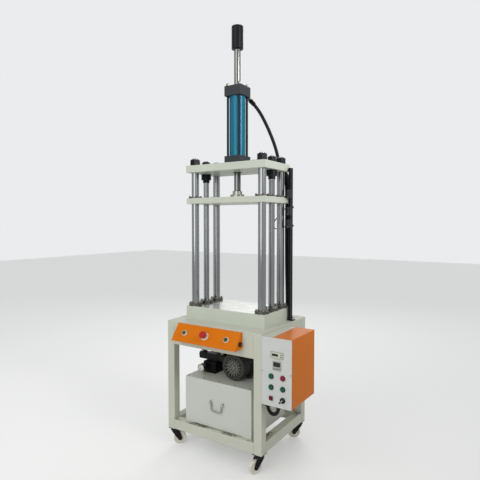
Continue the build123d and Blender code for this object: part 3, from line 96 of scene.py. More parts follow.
def surface(name, grids, wrap_u=False, wrap_v=True, smooth=True):
    """Mesh of P(u, v) for each copy, from an array of shape (copies, n_u, n_v, 3).

    Each quad joins (i, j), (i + 1, j), (i + 1, j + 1) and (i, j + 1). A wrapped
    direction also joins its last points to its first.
    """
    copies, n_u, n_v = grids.shape[:3]
    index = np.arange(n_u * n_v).reshape(n_u, n_v)
    if wrap_u:
        index = np.vstack([index, index[:1]])
    if wrap_v:
        index = np.hstack([index, index[:, :1]])
    corners = [index[:-1, :-1], index[1:, :-1], index[1:, 1:], index[:-1, 1:]]
    quads = np.stack(corners, axis=-1).reshape(-1, 4)
    faces = (quads[None] + n_u * n_v * np.arange(copies)[:, None, None]).reshape(-1, 4)
    mesh = bpy.data.meshes.new(name)
    mesh.from_pydata(grids.reshape(-1, 3).tolist(), [], faces.tolist())
    soup = bmesh.new()
    soup.from_mesh(mesh)
    bmesh.ops.remove_doubles(soup, verts=soup.verts, dist=1e-6)
    bmesh.ops.recalc_face_normals(soup, faces=soup.faces)
    soup.to_mesh(mesh)
    soup.free()
    if smooth:
        mesh.shade_smooth()
    else:
        mesh.shade_flat()
    return linked(name, mesh)


def across(axis):
    """Two unit vectors at right angles to an axis and to each other."""
    axis = np.asarray(axis, float) / np.linalg.norm(axis)
    helper = np.array([0.0, 0.0, 1.0]) if abs(axis[2]) < 0.9 else np.array([1.0, 0.0, 0.0])
    first = np.cross(helper, axis)
    first /= np.linalg.norm(first)
    return first, np.cross(axis, first)


def circle(first, second, steps):
    """Unit circle: P(a) = cos a first + sin a second, for evenly spaced angles."""
    angle = np.linspace(0, 2 * np.pi, steps, endpoint=False)
    return np.cos(angle)[:, None] * first + np.sin(angle)[:, None] * second


def turned(profile, centres, axis, steps=48):
    """Turned shapes: P(s, a) = centre + h(s) axis + r(s) (cos a first + sin a second).

    profile is a list of (radius, height) pairs and centres holds one point per copy.
    """
    radius, height = np.array(profile, float).T
    ring = circle(*across(axis), steps)
    shape = height[:, None, None] * np.asarray(axis, float) + radius[:, None, None] * ring
    return np.asarray(centres, float).reshape(-1, 1, 1, 3) + shape[None]


def dress(thing, material, body="press"):
    """Gives a new object its material and its body."""
    thing.data.materials.clear()
    thing.data.materials.append(material)
    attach(thing, body)
    return thing


def piece(name, grids, material, slot, body="press", **manner):
    """A surface from grids of points, dressed at once."""
    return dress(surface(name, grids, **manner), material, body)


# %% [markdown]
# ## Effects as node groups
#
# Real finishes differ from a flat colour in a few repeatable ways: paint has a fine
# orange peel and slightly cloudy colour, edges rub bright, horizontal faces gather dust
# and turned steel has fine rings. Each effect is one node group with its own inputs, so
# that every material can use it with other numbers.

# %% Small helpers for shader nodes
FLOAT, COLOUR, VECTOR = "NodeSocketFloat", "NodeSocketColor", "NodeSocketVector"


def feed(tree, socket, value):
    """Links a socket to the one given as value, or sets it to a plain value."""
    if isinstance(value, bpy.types.NodeSocket):
        tree.links.new(value, socket)
    else:
        socket.default_value = value


def feed_all(tree, node, **values):
    """Feeds a node's inputs by name; a space in a name is written as an underscore."""
    for key, value in values.items():
        feed(tree, node.inputs[key.replace("_", " ")], value)
    return node


def add_node(tree, kind, settings=None, **values):
    """Adds a shader node of a kind, sets its properties and feeds its inputs by name."""
    node = tree.nodes.new("ShaderNode" + kind)
    for key, value in (settings or {}).items():
        setattr(node, key, value)
    return feed_all(tree, node, **values)


def worked(tree, kind, values, **settings):
    """The outputs of a node that takes these values by the order of its inputs."""
    node = add_node(tree, kind, settings)
    for socket, value in zip(node.inputs, values):
        feed(tree, socket, value)
    return node.outputs


def maths(tree, operation, *values):
    """The result of a Math node on up to three sockets or numbers."""
    return worked(tree, "Math", values, operation=operation)[0]


def vectors(tree, operation, *values):
    """The outputs Vector and Value of a Vector Math node on sockets or vectors."""
    return worked(tree, "VectorMath", values, operation=operation)


def scaled(tree, colour, factor):
    """A colour, from a socket or of four numbers, times a factor."""
    node = add_node(tree, "VectorMath", {"operation": "SCALE"}, Scale=factor)
    feed(tree, node.inputs[0], colour if isinstance(colour, bpy.types.NodeSocket) else colour[:3])
    return node.outputs["Vector"]


def ranged(tree, value, from_min=0.0, from_max=1.0, to_min=0.0, to_max=1.0):
    """A value mapped from one range to another and held inside it."""
    ends = {"From_Min": from_min, "From_Max": from_max, "To_Min": to_min, "To_Max": to_max}
    return add_node(tree, "MapRange", Value=value, **ends).outputs[0]


def place_in(tree):
    """Object coordinates, which stay with a piece when its body moves."""
    return add_node(tree, "TexCoord").outputs["Object"]


def along(tree, vector, axis):
    """One coordinate of a vector."""
    return add_node(tree, "SeparateXYZ", Vector=vector).outputs[axis]


def true_normal(tree):
    """The surface's own normal."""
    return add_node(tree, "NewGeometry").outputs["Normal"]


def noise(tree, place, scale, detail, roughness=0.5):
    """Noise from 0 to 1 at a place."""
    inputs = {"Vector": place, "Scale": scale, "Detail": detail, "Roughness": roughness}
    return add_node(tree, "TexNoise", **inputs).outputs["Fac"]


def new_group(name, **inputs):
    """A shader node group, each of whose inputs has the socket type of its default."""
    group = bpy.data.node_groups.new(name, "ShaderNodeTree")
    for label, value in inputs.items():
        kind = FLOAT if isinstance(value, float) else {3: VECTOR, 4: COLOUR}[len(value)]
        label = label.replace("_", " ")
        socket = group.interface.new_socket(label, in_out="INPUT", socket_type=kind)
        socket.default_value = value
    return group, group.nodes.new("NodeGroupInput").outputs


def give(group, **outputs):
    """Gives a group its outputs: a colour under the name Color, and otherwise numbers."""
    for label in outputs:
        kind = COLOUR if label == "Color" else FLOAT
        group.interface.new_socket(label, in_out="OUTPUT", socket_type=kind)
    feed_all(group, group.nodes.new("NodeGroupOutput"), **outputs)
    return group


# %% Cloudy colour and orange peel, for every painted piece


def make_paint_group():
    """Colour varied by slow noise, a roughness varied by finer noise, and a peel height."""
    inputs = {"Color": (0.5, 0.5, 0.5, 1.0), "Cloud": 0.06, "Roughness": 0.4, "Peel_Scale": 900.0}
    group, given = new_group("paint_cloud", **inputs)
    place = place_in(group)
    centred = maths(group, "SUBTRACT", noise(group, place, 7.0, 4.0), 0.5)
    swing = maths(group, "MULTIPLY", centred, given["Cloud"])
    tinted = scaled(group, given["Color"], maths(group, "MULTIPLY_ADD", swing, 2.0, 1.0))
    fine = noise(group, place, 60.0, 3.0)
    rough = maths(group, "MULTIPLY_ADD", fine, 0.12, given["Roughness"])
    peel = noise(group, place, given["Peel Scale"], 2.0)
    return give(group, Color=tinted, Roughness=rough, Height=peel)


paint_group = make_paint_group()

# %% Rubbed edges, from a normal that is rounded by a small radius


def make_edge_group():
    """A mask that is one where the rounded normal leaves the true one, broken up by noise."""
    group, given = new_group("rubbed_edge", Width=0.0015, Amount=0.5)
    rounded = add_node(group, "Bevel", {"samples": 4}, Radius=given["Width"])
    agree = vectors(group, "DOT_PRODUCT", rounded.outputs[0], true_normal(group))["Value"]
    turn = maths(group, "SUBTRACT", 1.0, agree)
    broken = maths(group, "MULTIPLY", turn, noise(group, place_in(group), 90.0, 5.0))
    band = ranged(group, broken, 0.06, 0.16)
    return give(group, Mask=maths(group, "MULTIPLY", band, given["Amount"]))


edge_group = make_edge_group()

# %% Workshop dust on what faces up


def make_dust_group():
    """A mask from the upward part of the normal times patchy noise."""
    group, given = new_group("settled_dust", Amount=0.3)
    facing = ranged(group, along(group, true_normal(group), "Z"), 0.5, 1.0)
    patches = noise(group, place_in(group), 14.0, 6.0, 0.7)
    spotted = maths(group, "MULTIPLY", facing, patches)
    return give(group, Mask=maths(group, "MULTIPLY", spotted, given["Amount"]))


dust_group = make_dust_group()

# %% Grit and swarf on the low rails


def make_speck_group():
    """A mask of sharp noise crumbs on faces that look up and lie low on the stand."""
    group, given = new_group("grit_specks", Amount=0.0, Height=0.2)
    place = place_in(group)
    level = maths(group, "GREATER_THAN", along(group, true_normal(group), "Z"), 0.6)
    below = maths(group, "LESS_THAN", along(group, place, "Z"), given["Height"])
    where = maths(group, "MULTIPLY", level, below)
    crumbs, heaps = noise(group, place, 95.0, 6.0, 0.75), noise(group, place, 9.0, 2.0)
    sharp = ranged(group, maths(group, "ADD", crumbs, heaps), 1.04, 1.12)
    shown = maths(group, "MULTIPLY", where, sharp)
    return give(group, Mask=maths(group, "MULTIPLY", shown, given["Amount"]))


speck_group = make_speck_group()

# %% Fine machining lines, drawn out along chosen directions; on the chrome a large depth makes them painted reflection streaks


def make_grind_group():
    """Noise on stretched coordinates, and slow blots: a shade, a roughness and a height."""
    inputs = {"Stretch": (1.0, 1.0, 400.0), "Roughness": 0.2, "Depth": 0.12, "Blots": 1.0}
    group, given = new_group("grind_lines_and_reflection_streaks", **inputs)
    place = place_in(group)
    drawn = vectors(group, "MULTIPLY", place, given["Stretch"])["Vector"]
    lines = noise(group, drawn, 3.0, 4.0)
    blot = maths(group, "SUBTRACT", noise(group, place, 11.0, 3.0), 0.5)
    both = maths(group, "MULTIPLY_ADD", blot, given["Blots"], maths(group, "ADD", lines, 0.5))
    swing = maths(group, "SUBTRACT", both, 1.0)
    shade = maths(group, "MULTIPLY_ADD", swing, given["Depth"], 1.0)
    rough = maths(group, "MULTIPLY_ADD", both, 0.1, given["Roughness"])
    return give(group, Shade=shade, Roughness=rough, Height=lines)


grind_and_reflection_group = make_grind_group()

# %% [markdown]
# ## Paint, steel, rubber and plastic
#
# Each finish of the press becomes a function that places those groups in a material and
# sets the plain numbers on the shader itself. Colours are given as they look in sRGB and
# turned into linear light.

# %% From an sRGB colour to linear light


def linear(red, green, blue):
    """Each channel c / 255 becomes ((c + 0.055) / 1.055) to the power 2.4."""
    c = np.array([red, green, blue]) / 255
    light = np.where(c < 0.04045, c / 12.92, ((c + 0.055) / 1.055) ** 2.4)
    return (*light.tolist(), 1.0)


def blank(name):
    """An empty material: its tree and its Principled shader."""
    material = bpy.data.materials.new(name)
    material.use_nodes = True
    tree = material.node_tree
    return material, tree, tree.nodes["Principled BSDF"]


def use(tree, group, **values):
    """The outputs of a node group that is placed in a tree and fed with values."""
    return add_node(tree, "Group", {"node_tree": group}, **values).outputs


def mixed(tree, mask, under, over):
    """The colour under, painted over with the colour over where the mask is one."""
    mix = add_node(tree, "Mix", {"data_type": "RGBA"})
    for position, value in ((0, mask), (6, under), (7, over)):
        feed(tree, mix.inputs[position], value)
    return mix.outputs[2]


def bumped(tree, height, strength, distance):
    """The normal that a Bump node makes from a height."""
    values = {"Strength": strength, "Distance": distance, "Height": height}
    return add_node(tree, "Bump", **values).outputs["Normal"]


# %% Sprayed paint and powder coat


def paint(
    name, colour, roughness=0.35, peel=900.0, depth=0.00012, worn=0.35, bare=(120, 118, 112),
    dust=0.25, gloss=0.25, specks=0.0,
):
    """Paint: cloudy colour, orange peel, rubbed edges down to what is under it, dust, specks."""
    material, tree, shader = blank(name)
    coat = use(tree, paint_group, Color=linear(*colour), Roughness=roughness, Peel_Scale=peel)
    finished = coat["Color"]
    pale, dark = (186, 182, 170), (74, 66, 54)
    layers = [(edge_group, worn, bare), (dust_group, dust, pale), (speck_group, specks, dark)]
    for group, amount, tone in layers:
        finished = mixed(tree, use(tree, group, Amount=amount)["Mask"], finished, linear(*tone))
    feed_all(
        tree, shader, Base_Color=finished, Roughness=coat["Roughness"], Specular_IOR_Level=gloss,
        Normal=bumped(tree, coat["Height"], 0.35, depth),
    )
    return material


# %% Ground, turned and plated steel


def steel(
    name, colour, roughness=0.2, stretch=(1, 1, 400), depth=0.12, blots=1.0, bump=0.00004, worn=0.0
):
    """Metal: machining lines in shade, roughness and height, with brighter rubbed edges; a large depth
    makes the lines painted reflection streaks.
    """
    material, tree, shader = blank(name)
    lines = use(tree, grind_and_reflection_group, Stretch=stretch, Roughness=roughness, Depth=depth, Blots=blots)
    shaded = scaled(tree, linear(*colour), lines["Shade"])
    edges = use(tree, edge_group, Amount=worn)["Mask"]
    feed_all(
        tree, shader, Base_Color=mixed(tree, edges, shaded, linear(190, 190, 188)), Metallic=1.0,
        Roughness=lines["Roughness"], Normal=bumped(tree, lines["Height"], 0.3, bump),
    )
    return material


# %% Moulded plastic and rubber


def moulded(name, colour, roughness=0.3, grain=1400.0, depth=0.00006, coat=0.0, dust=0.12, gloss=0.25):
    """Plastic or rubber: an even colour with a fine moulded grain and a little dust."""
    material, tree, shader = blank(name)
    values = {"Color": linear(*colour), "Cloud": 0.04, "Roughness": roughness, "Peel_Scale": grain}
    skin = use(tree, paint_group, **values)
    dusty = use(tree, dust_group, Amount=dust)["Mask"]
    feed_all(
        tree, shader, Base_Color=mixed(tree, dusty, skin["Color"], linear(150, 148, 142)),
        Roughness=skin["Roughness"], Coat_Weight=coat, Specular_IOR_Level=gloss,
        Normal=bumped(tree, skin["Height"], 0.3, depth),
    )
    return material


# %% [markdown]
# ## The finishes of this press
#
# The stand and the plates wear a pale grey-green paint, the two boxes a warm orange
# powder coat, the cylinder barrel a metallic teal under clear coat, and its caps a dark
# grey. Columns and rods are hard chromed, while nuts, rail and forks are blackened.

# %% The materials, one for each finish
plate_tone, motor_tone = (198, 204, 190), (60, 61, 57)
stand_paint = paint("stand_paint", (198, 200, 185), roughness=0.34, specks=0.8)
plate_paint = paint("plate_paint", plate_tone, roughness=0.3, worn=0.5)
orange_paint = paint(
    "orange_paint", (215, 114, 2), roughness=0.26, peel=1200.0, bare=(150, 80, 30), dust=0.08, gloss=0.08
)
panel_paint = paint("panel_grey", (206, 208, 204), roughness=0.4, worn=0.2, dust=0.05)
tank_paint = paint("tank_white", (201, 205, 197), roughness=0.4, worn=0.3)
cap_paint = paint(
    "cap_charcoal", (58, 62, 65), roughness=0.42, worn=0.6, bare=(110, 112, 112), dust=0.15, gloss=0.12
)
motor_paint = paint(
    "motor_grey", motor_tone, roughness=0.45, peel=500.0, worn=0.5, bare=(120, 120, 118), gloss=0.15
)
# On the chrome the lines run along the axis with depth 1.0: dark and bright vertical bands, a painted
# reflection of the surroundings.
reflection_streaks = {"roughness": 0.05, "stretch": (9, 9, 0.12), "depth": 1.0, "blots": 0.2, "bump": 0.0}
ground_chrome = steel("ground_chrome", (142, 144, 145), **reflection_streaks)
# The piston rod is the columns' chrome with a darker base: painted shade for the darker reflection on the
# rod.
shaded_rod_chrome = steel("shaded_rod_chrome", (108, 109, 107), **reflection_streaks)
bright_steel = steel("bright_steel", (158, 156, 149), roughness=0.24, stretch=(300, 300, 300))
dull_steel = steel("dull_steel", (92, 91, 86), roughness=0.3, stretch=(90, 90, 260), worn=0.35)
black_steel = steel("black_steel", (36, 36, 38), roughness=0.32, stretch=(60, 60, 200), depth=0.2, worn=0.4)
zinc_steel = steel("zinc_steel", (156, 154, 145), roughness=0.3, stretch=(200, 200, 200))
hose_rubber = moulded("hose_rubber", (20, 20, 21), roughness=0.42, grain=800.0, gloss=0.15)
black_plastic = moulded("black_plastic", (24, 24, 26), roughness=0.34, gloss=0.2)
green_plastic = moulded("green_plastic", (4, 76, 54), roughness=0.24, coat=0.15, dust=0.05)
red_plastic = moulded("red_plastic", (172, 12, 22), roughness=0.24, coat=0.15, dust=0.05)
crimson_plastic = moulded("crimson_plastic", (132, 14, 44), roughness=0.26, coat=0.1, dust=0.05)
device_grey = moulded("device_grey", (168, 169, 160), roughness=0.4)
wheel_ivory = moulded("wheel_ivory", (226, 222, 210), roughness=0.35, grain=300.0)
print("materials made:", len(bpy.data.materials))

# %% Metallic teal under clear coat, for the barrel


def make_barrel_blue():
    """Fine metallic flakes: cells of random shade over teal, under a clear coat."""
    material, tree, shader = blank("barrel_blue")
    flakes = add_node(tree, "TexVoronoi", Vector=place_in(tree), Scale=1500.0)
    spread = add_node(tree, "SeparateColor", Color=flakes.outputs["Color"]).outputs[0]
    shade = ranged(tree, spread, to_min=0.75, to_max=1.2)
    feed_all(
        tree, shader, Base_Color=scaled(tree, linear(14, 106, 132), shade), Metallic=0.2,
        Roughness=0.3, Specular_IOR_Level=0.2, Coat_Weight=0.05,
    )
    return material


barrel_blue = make_barrel_blue()

# %% Bed plate: painted sides under a ground and oiled top


def make_bed_finish():
    """The plate's paint, changed to ground steel where the normal points straight up."""
    material, tree, shader = blank("bed_finish")
    coat = use(tree, paint_group, Color=linear(*plate_tone), Roughness=0.3)
    lines = use(tree, grind_and_reflection_group, Stretch=(4, 500, 4), Roughness=0.16, Depth=0.14)
    top = maths(tree, "GREATER_THAN", along(tree, true_normal(tree), "Z"), 0.98)
    ground = scaled(tree, linear(204, 206, 200), lines["Shade"])
    rough = add_node(tree, "Mix", Factor=top, A=coat["Roughness"], B=lines["Roughness"])
    feed_all(
        tree, shader, Base_Color=mixed(tree, top, coat["Color"], ground), Metallic=top,
        Roughness=rough.outputs[0], Specular_IOR_Level=0.25,
        Normal=bumped(tree, coat["Height"], 0.3, 0.0001),
    )
    return material


bed_finish = make_bed_finish()

# %% Tie rods: dark paint between the caps, bare steel at their nuts


def make_tie_rod_finish():
    """Dark paint near the middle height of the barrel, and machined steel beyond it."""
    material, tree, shader = blank("tie_rod_finish")
    lines = use(tree, grind_and_reflection_group, Stretch=(200, 200, 200), Roughness=0.25, Depth=0.12)
    shaded = scaled(tree, linear(102, 99, 93), lines["Shade"])
    painted_z, painted_half = 1.90, 0.235
    height = along(tree, place_in(tree), "Z")
    painted = maths(tree, "COMPARE", height, painted_z, painted_half)
    feed_all(
        tree, shader, Base_Color=mixed(tree, painted, shaded, linear(20, 30, 36)),
        Metallic=maths(tree, "SUBTRACT", 1.0, painted), Roughness=lines["Roughness"],
        Specular_IOR_Level=0.15,
    )
    return material


tie_rod_finish = make_tie_rod_finish()

# %% Button bezels: cream on the sloped box, and in the buttons' own colours on the panel


def make_bezel_finish():
    """Cream, changed by the place of the bezel: right of the stand the panel's bezels begin."""
    material, tree, shader = blank("bezel_finish")
    place = place_in(tree)
    on_board = maths(tree, "GREATER_THAN", along(tree, place, "X"), stand_high[0])
    ring, reach = linear(6, 70, 52), 0.024
    for name, tone in (("halt_button", linear(112, 12, 36)), ("selector_knob", linear(22, 22, 24))):
        gap = vectors(tree, "DISTANCE", place, middle(name).tolist())["Value"]
        ring = mixed(tree, maths(tree, "LESS_THAN", gap, reach), ring, tone)
    finished = mixed(tree, on_board, linear(222, 216, 198), ring)
    feed_all(tree, shader, Base_Color=finished, Roughness=0.28, Specular_IOR_Level=0.3)
    return material


bezel_finish = make_bezel_finish()

# %% Fan cover: a dark rim round a paler grille


def make_fan_finish():
    """Paint whose colour comes from the distance to the motor's axis, softened by noise."""
    material, tree, shader = blank("fan_finish")
    flat = vectors(tree, "MULTIPLY", place_in(tree), (1, 0, 1))["Vector"]
    centre = (middle("fan_cover") * (1, 0, 1)).tolist()
    grille_radius, rim_radius = 0.040, 0.052
    rim = ranged(tree, vectors(tree, "DISTANCE", flat, centre)["Value"], grille_radius, rim_radius)
    tone = mixed(tree, rim, linear(108, 109, 102), linear(*motor_tone))
    coat = use(tree, paint_group, Color=tone, Roughness=0.45, Peel_Scale=500.0)
    feed_all(
        tree, shader, Base_Color=coat["Color"], Roughness=coat["Roughness"],
        Specular_IOR_Level=0.15, Normal=bumped(tree, coat["Height"], 0.35, 0.00012),
    )
    return material


fan_finish = make_fan_finish()

# %% Put the finishes on the CAD nodes
finish_of = [
    (stand_paint, "stand_frame stand_top rear_panel box_bracket"),
    (plate_paint, "crown_plate slider_plate"),
    (bed_finish, "bed_plate"),
    (orange_paint, "button_box control_box"),
    (panel_paint, "control_panel"),
    (tank_paint, "oil_tank tank_lid"),
    (cap_paint, "cylinder_caps"),
    (motor_paint, "motor_housing pump_body"),
    (fan_finish, "fan_cover"),
    (ground_chrome, "main_columns guide_rods"),
    (shaded_rod_chrome, "piston_rod"),
    (tie_rod_finish, "tie_rods"),
    (bright_steel, "piston pressure_gauge tank_handle motor_rotor rod_flange"),
    (dull_steel, "foot_flanges guide_bushings"),
    (zinc_steel, "pipe_fittings flange_screws"),
    (black_steel, "column_nuts stroke_nut valve_manifold switch_rail caster_plates"),
    (black_steel, "fork_front_left fork_front_right fork_rear_left fork_rear_right"),
    (barrel_blue, "barrel"),
    (black_plastic, "solenoid_valve position_switches selector_knob cable_glands"),
    (hose_rubber, "hose_extend hose_retract switch_cable conduit"),
    (bezel_finish, "button_bezels"),
    (green_plastic, "left_button right_button start_button jog_button reset_button"),
    (red_plastic, "stop_button"),
    (crimson_plastic, "halt_button"),
    (device_grey, "panel_displays"),
    (wheel_ivory, "wheel_front_left wheel_front_right wheel_rear_left wheel_rear_right"),
]
dressed = set()
for material, names in finish_of:
    for name in names.split():
        nodes[name].data.materials.clear()
        nodes[name].data.materials.append(material)
        dressed.add(name)
print("nodes still without a finish:", sorted(set(nodes) - dressed))

# %% [markdown]
# ## Tie rods that end in the crown
#
# The four rods screw into the crown, so nothing of them shows below it. A plane cuts their
# mesh just inside the underside, and each cut is closed by a flat end.

# %% Cut and close the rods at the crown's underside
rods_mesh = nodes["tie_rods"].data.copy()
flush_z = low("crown_plate")[2] + 0.0004
soup = bmesh.new()
soup.from_mesh(rods_mesh)
whole = soup.verts[:] + soup.edges[:] + soup.faces[:]
plane = {"plane_co": (0, 0, flush_z), "plane_no": (0, 0, 1)}
cut = bmesh.ops.bisect_plane(soup, geom=whole, clear_inner=True, **plane)
rims = [part for part in cut["geom_cut"] if isinstance(part, bmesh.types.BMEdge)]
flat_ends = bmesh.ops.holes_fill(soup, edges=rims, sides=0)["faces"]
print("rod ends closed:", len(flat_ends))
soup.to_mesh(rods_mesh)
soup.free()
screwed_rods = dress(linked("screwed_rods", rods_mesh), tie_rod_finish)
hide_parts("tie_rods")

# %% [markdown]
# ## The camera
#
# The picture was taken from the right of the press at chest height, so the camera stands
# at that very spot. There the picture has the press at its edge, and here the camera turns
# to face it. The nearer corner of the stand points at the viewer.

# %% A camera at the photograph's place
station = Vector((1.413, -2.257, 1.341))
aim = Vector((-0.045, 0.0, 1.235))
camera_data = bpy.data.cameras.new("camera")
camera_data.sensor_width = 36.0
camera_data.lens = 34.0
camera = linked("camera", camera_data)
camera.location = station
camera.rotation_euler = (aim - station).to_track_quat("-Z", "Y").to_euler()
bpy.context.scene.camera = camera
print("the camera is", round((aim - station).length, 2), "metres from the press")

# %% [markdown]
# ## Hoses, cable and conduit
#
# A hose is one smooth curve. Its route is a short list of points, and a NURBS spline of
# order 3 through that list bends like rubber does. The bevel gives it its thickness.

# %% Routes of the four cords, in metres
hose_extend_route = [
    (-0.0474, 0.1245, 2.0774), (0.0021, 0.1245, 2.0279), (0.0450, 0.1640, 1.9250),
    (0.0820, 0.2030, 1.8010), (0.0950, 0.2260, 1.7030), (0.1430, 0.2300, 1.6100),
    (0.1470, 0.2300, 1.4500), (0.1450, 0.2300, 1.2400), (0.1470, 0.2320, 1.0300),
    (0.1490, 0.2380, 0.8700), (0.1470, 0.2400, 0.7200), (0.1120, 0.2320, 0.6320),
    (0.0200, 0.2120, 0.6180), (-0.0800, 0.1900, 0.5960), (-0.1580, 0.1500, 0.5400),
    (-0.1850, 0.1000, 0.4670), (-0.1850, 0.0360, 0.4670),
]
hose_retract_route = [
    (-0.0310, 0.1245, 1.7080), (0.0290, 0.1245, 1.7080), (0.1120, 0.2030, 1.6980),
    (0.1650, 0.2240, 1.6100), (0.1690, 0.2260, 1.4700), (0.1670, 0.2260, 1.2600),
    (0.1680, 0.2290, 1.0500), (0.1700, 0.2370, 0.8800), (0.1710, 0.2400, 0.7300),
    (0.1350, 0.2460, 0.6060), (0.0400, 0.2360, 0.5860), (-0.0600, 0.2140, 0.5740),
    (-0.1650, 0.1800, 0.5400), (-0.2290, 0.1300, 0.4670), (-0.2290, 0.0360, 0.4670),
]
cable_route = [
    (0.1970, 0.1910, 1.4300), (0.1600, 0.1910, 1.4300), (0.1180, 0.2000, 1.3900),
    (0.0780, 0.2050, 1.3520), (0.0580, 0.2070, 1.3180), (0.0840, 0.2070, 1.2960),
    (0.1300, 0.2010, 1.3040), (0.1680, 0.1910, 1.3200), (0.1970, 0.1910, 1.3200),
]
conduit_route = [
    (0.2620, -0.2060, 0.3920), (0.2620, -0.2060, 0.3670), (0.2750, -0.2060, 0.3450),
    (0.2940, -0.2060, 0.3370), (0.3130, -0.2060, 0.3450), (0.3260, -0.2060, 0.3670),
    (0.3260, -0.2060, 0.3920),
]


def smooth_curve(name, route, radius):
    """A NURBS curve of order 3 whose control points are the route; radius 0 gives a line."""
    data = bpy.data.curves.new(name, "CURVE")
    data.dimensions = "3D"
    data.bevel_depth = radius
    data.bevel_resolution = 8
    data.use_fill_caps = radius > 0
    spline = data.splines.new("NURBS")
    spline.points.add(len(route) - 1)
    for point, place in zip(spline.points, route):
        point.co = (*place, 1)
    spline.order_u = 3
    spline.use_endpoint_u = True
    spline.resolution_u = 12
    return linked(name, data)


def route_line(route):
    """The points of the route's smooth line and their running length."""
    guide = smooth_curve("guide_line", route, 0)
    bpy.context.view_layer.update()
    mesh = bpy.data.meshes.new_from_object(guide)
    points = np.empty(len(mesh.vertices) * 3)
    mesh.vertices.foreach_get("co", points)
    points = points.reshape(-1, 3)
    bpy.data.objects.remove(guide)
    steps = np.linalg.norm(np.diff(points, axis=0), axis=1)
    return points, np.concatenate([[0], np.cumsum(steps)])


def hang(name, route, radius, material, node):
    """A cord of the press in place of its CAD solid, with both ends in the press."""
    curve = dress(smooth_curve(name, route, radius), material)
    length = route_line(route)[1][-1]
    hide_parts(node)


hang("extend_hose", hose_extend_route, 0.01, hose_rubber, "hose_extend")
hang("retract_hose", hose_retract_route, 0.01, hose_rubber, "hose_retract")
hang("sensor_cable", cable_route, 0.003, black_plastic, "switch_cable")

# %% [markdown]
# ## A corrugated conduit
#
# The conduit is a tube whose radius waves along its length:
# P(s, a) = C(s) + (r + w cos(2 pi s / p)) (cos a N(s) + sin a B(s)),
# where C is the smooth line of the route and N and B stand square to it.

# %% Corrugated tube along the route
conduit_line, conduit_run = route_line(conduit_route)
ring_pitch, ring_radius, ring_wave = 0.0036, 0.0092, 0.0008
run = np.arange(0, conduit_run[-1], ring_pitch / 6)
centre = np.stack([np.interp(run, conduit_run, conduit_line[:, i]) for i in range(3)], axis=1)
tangent = np.gradient(centre, axis=0)
tangent /= np.linalg.norm(tangent, axis=1, keepdims=True)
side_way = np.array([0.0, 1.0, 0.0]) * np.ones_like(tangent)
other_way = np.cross(tangent, side_way)
wave = ring_radius + ring_wave * np.cos(2 * np.pi * run / ring_pitch)
turn = np.linspace(0, 2 * np.pi, 28, endpoint=False)[None, :, None]
ring = np.cos(turn) * side_way[:, None] + np.sin(turn) * other_way[:, None]
tube = centre[:, None] + wave[:, None, None] * ring
corrugated = piece("corrugated_conduit", tube[None], black_plastic, "black_plastic")
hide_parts("conduit")

# %% [markdown]
# ## Crimped hose ends
#
# Each hose ends in a steel ferrule that was squeezed onto the rubber. It is a turned
# shape: a collar, a row of crimp ridges and a rolled lip, set on the hose's first run.

# %% Ferrules on the four hose ends
collar = [(0, -0.004), (0.0112, -0.004), (0.0140, -0.001), (0.0140, 0.006)]
crimps = [(0.0128 + 0.0007 * (i % 2), 0.009 + 0.0025 * i) for i in range(9)]
ferrule_profile = [*collar, *crimps, (0.0122, 0.0330), (0, 0.0330)]
ferrule_ends = {
    "ferrule_cap_top": hose_extend_route[:2],
    "ferrule_cap_bottom": hose_retract_route[:2],
    "ferrule_port_right": hose_extend_route[:-3:-1],
    "ferrule_port_left": hose_retract_route[:-3:-1],
}
for name, (end, inner) in ferrule_ends.items():
    way = np.subtract(inner, end)
    ferrule = turned(ferrule_profile, [end], way / np.linalg.norm(way))
    piece(name, ferrule, black_steel, "black_steel")

# %% [markdown]
# ## The open frame of the stand
#
# Four posts of square tube stand on two rings of rails, and the upper ring ends in front in
# a folded apron. Between them the sides stay open, so the tank and the motor show. A tube
# is an outline carried along a straight path: P(s, k) = start + s (end - start) + a_k first
# + b_k second, with each end drawn together to a point.

# %% Outlines and straight runs


def rounded_outline(width, height, corner=0.004, steps=5):
    """Rectangle with round corners: corner middle + corner (cos t, sin t), a quarter turn each."""
    t = np.linspace(0, np.pi / 2, steps)[None] + np.arange(4)[:, None] * np.pi / 2
    signs = np.array([(1, 1), (-1, 1), (-1, -1), (1, -1)])
    centres = signs * (width / 2 - corner, height / 2 - corner)
    return (centres[:, None] + corner * np.stack([np.cos(t), np.sin(t)], axis=-1)).reshape(-1, 2)


def carried(outline, starts, ends, first, second):
    """The outline along each run from a start to an end, closed by flat ends."""
    starts, ends = np.array(starts, float), np.array(ends, float)
    flat = outline[:, :1] * np.array(first, float) + outline[:, 1:] * np.array(second, float)
    line = np.stack([starts, starts, ends, ends], axis=1)
    return line[:, :, None] + np.array([0, 1, 1, 0])[None, :, None, None] * flat[None, None]


# %% Posts, rails, apron and the bars under the tank
post, rail, apron, step, sheet, lap = 0.050, 0.060, 0.126, 0.0005, 0.003, 0.005
bar_width, bar_thick, bar_corner = 0.060, 0.004, 0.0006
side, front_way, up = (1, 0, 0), (0, 1, 0), (0, 0, 1)
left_x, right_x = stand_low[0] + post / 2, stand_high[0] - post / 2
near_y, far_y = stand_low[1] + post / 2, stand_high[1] - post / 2
foot_z, head_z = stand_low[2], stand_high[2]
low_z, top_z = foot_z + rail / 2, head_z - post / 2
corners = [(x, y) for x in (left_x, right_x) for y in (near_y, far_y)]
x_ends = (left_x + post / 2 - lap, right_x - post / 2 + lap)
y_ends = (near_y + post / 2 - lap, far_y - post / 2 + lap)
tank_low, tank_high = low("oil_tank"), high("oil_tank")
bar_x = (tank_low[0] + bar_width / 2, tank_high[0] - bar_width / 2)
bar_z = tank_low[2] - bar_thick / 2
post_outline = rounded_outline(post, post)
low_outline = rounded_outline(post - 2 * step, rail)
top_outline = rounded_outline(post - 2 * step, post)
bar_outline = rounded_outline(bar_width, bar_thick, bar_corner)
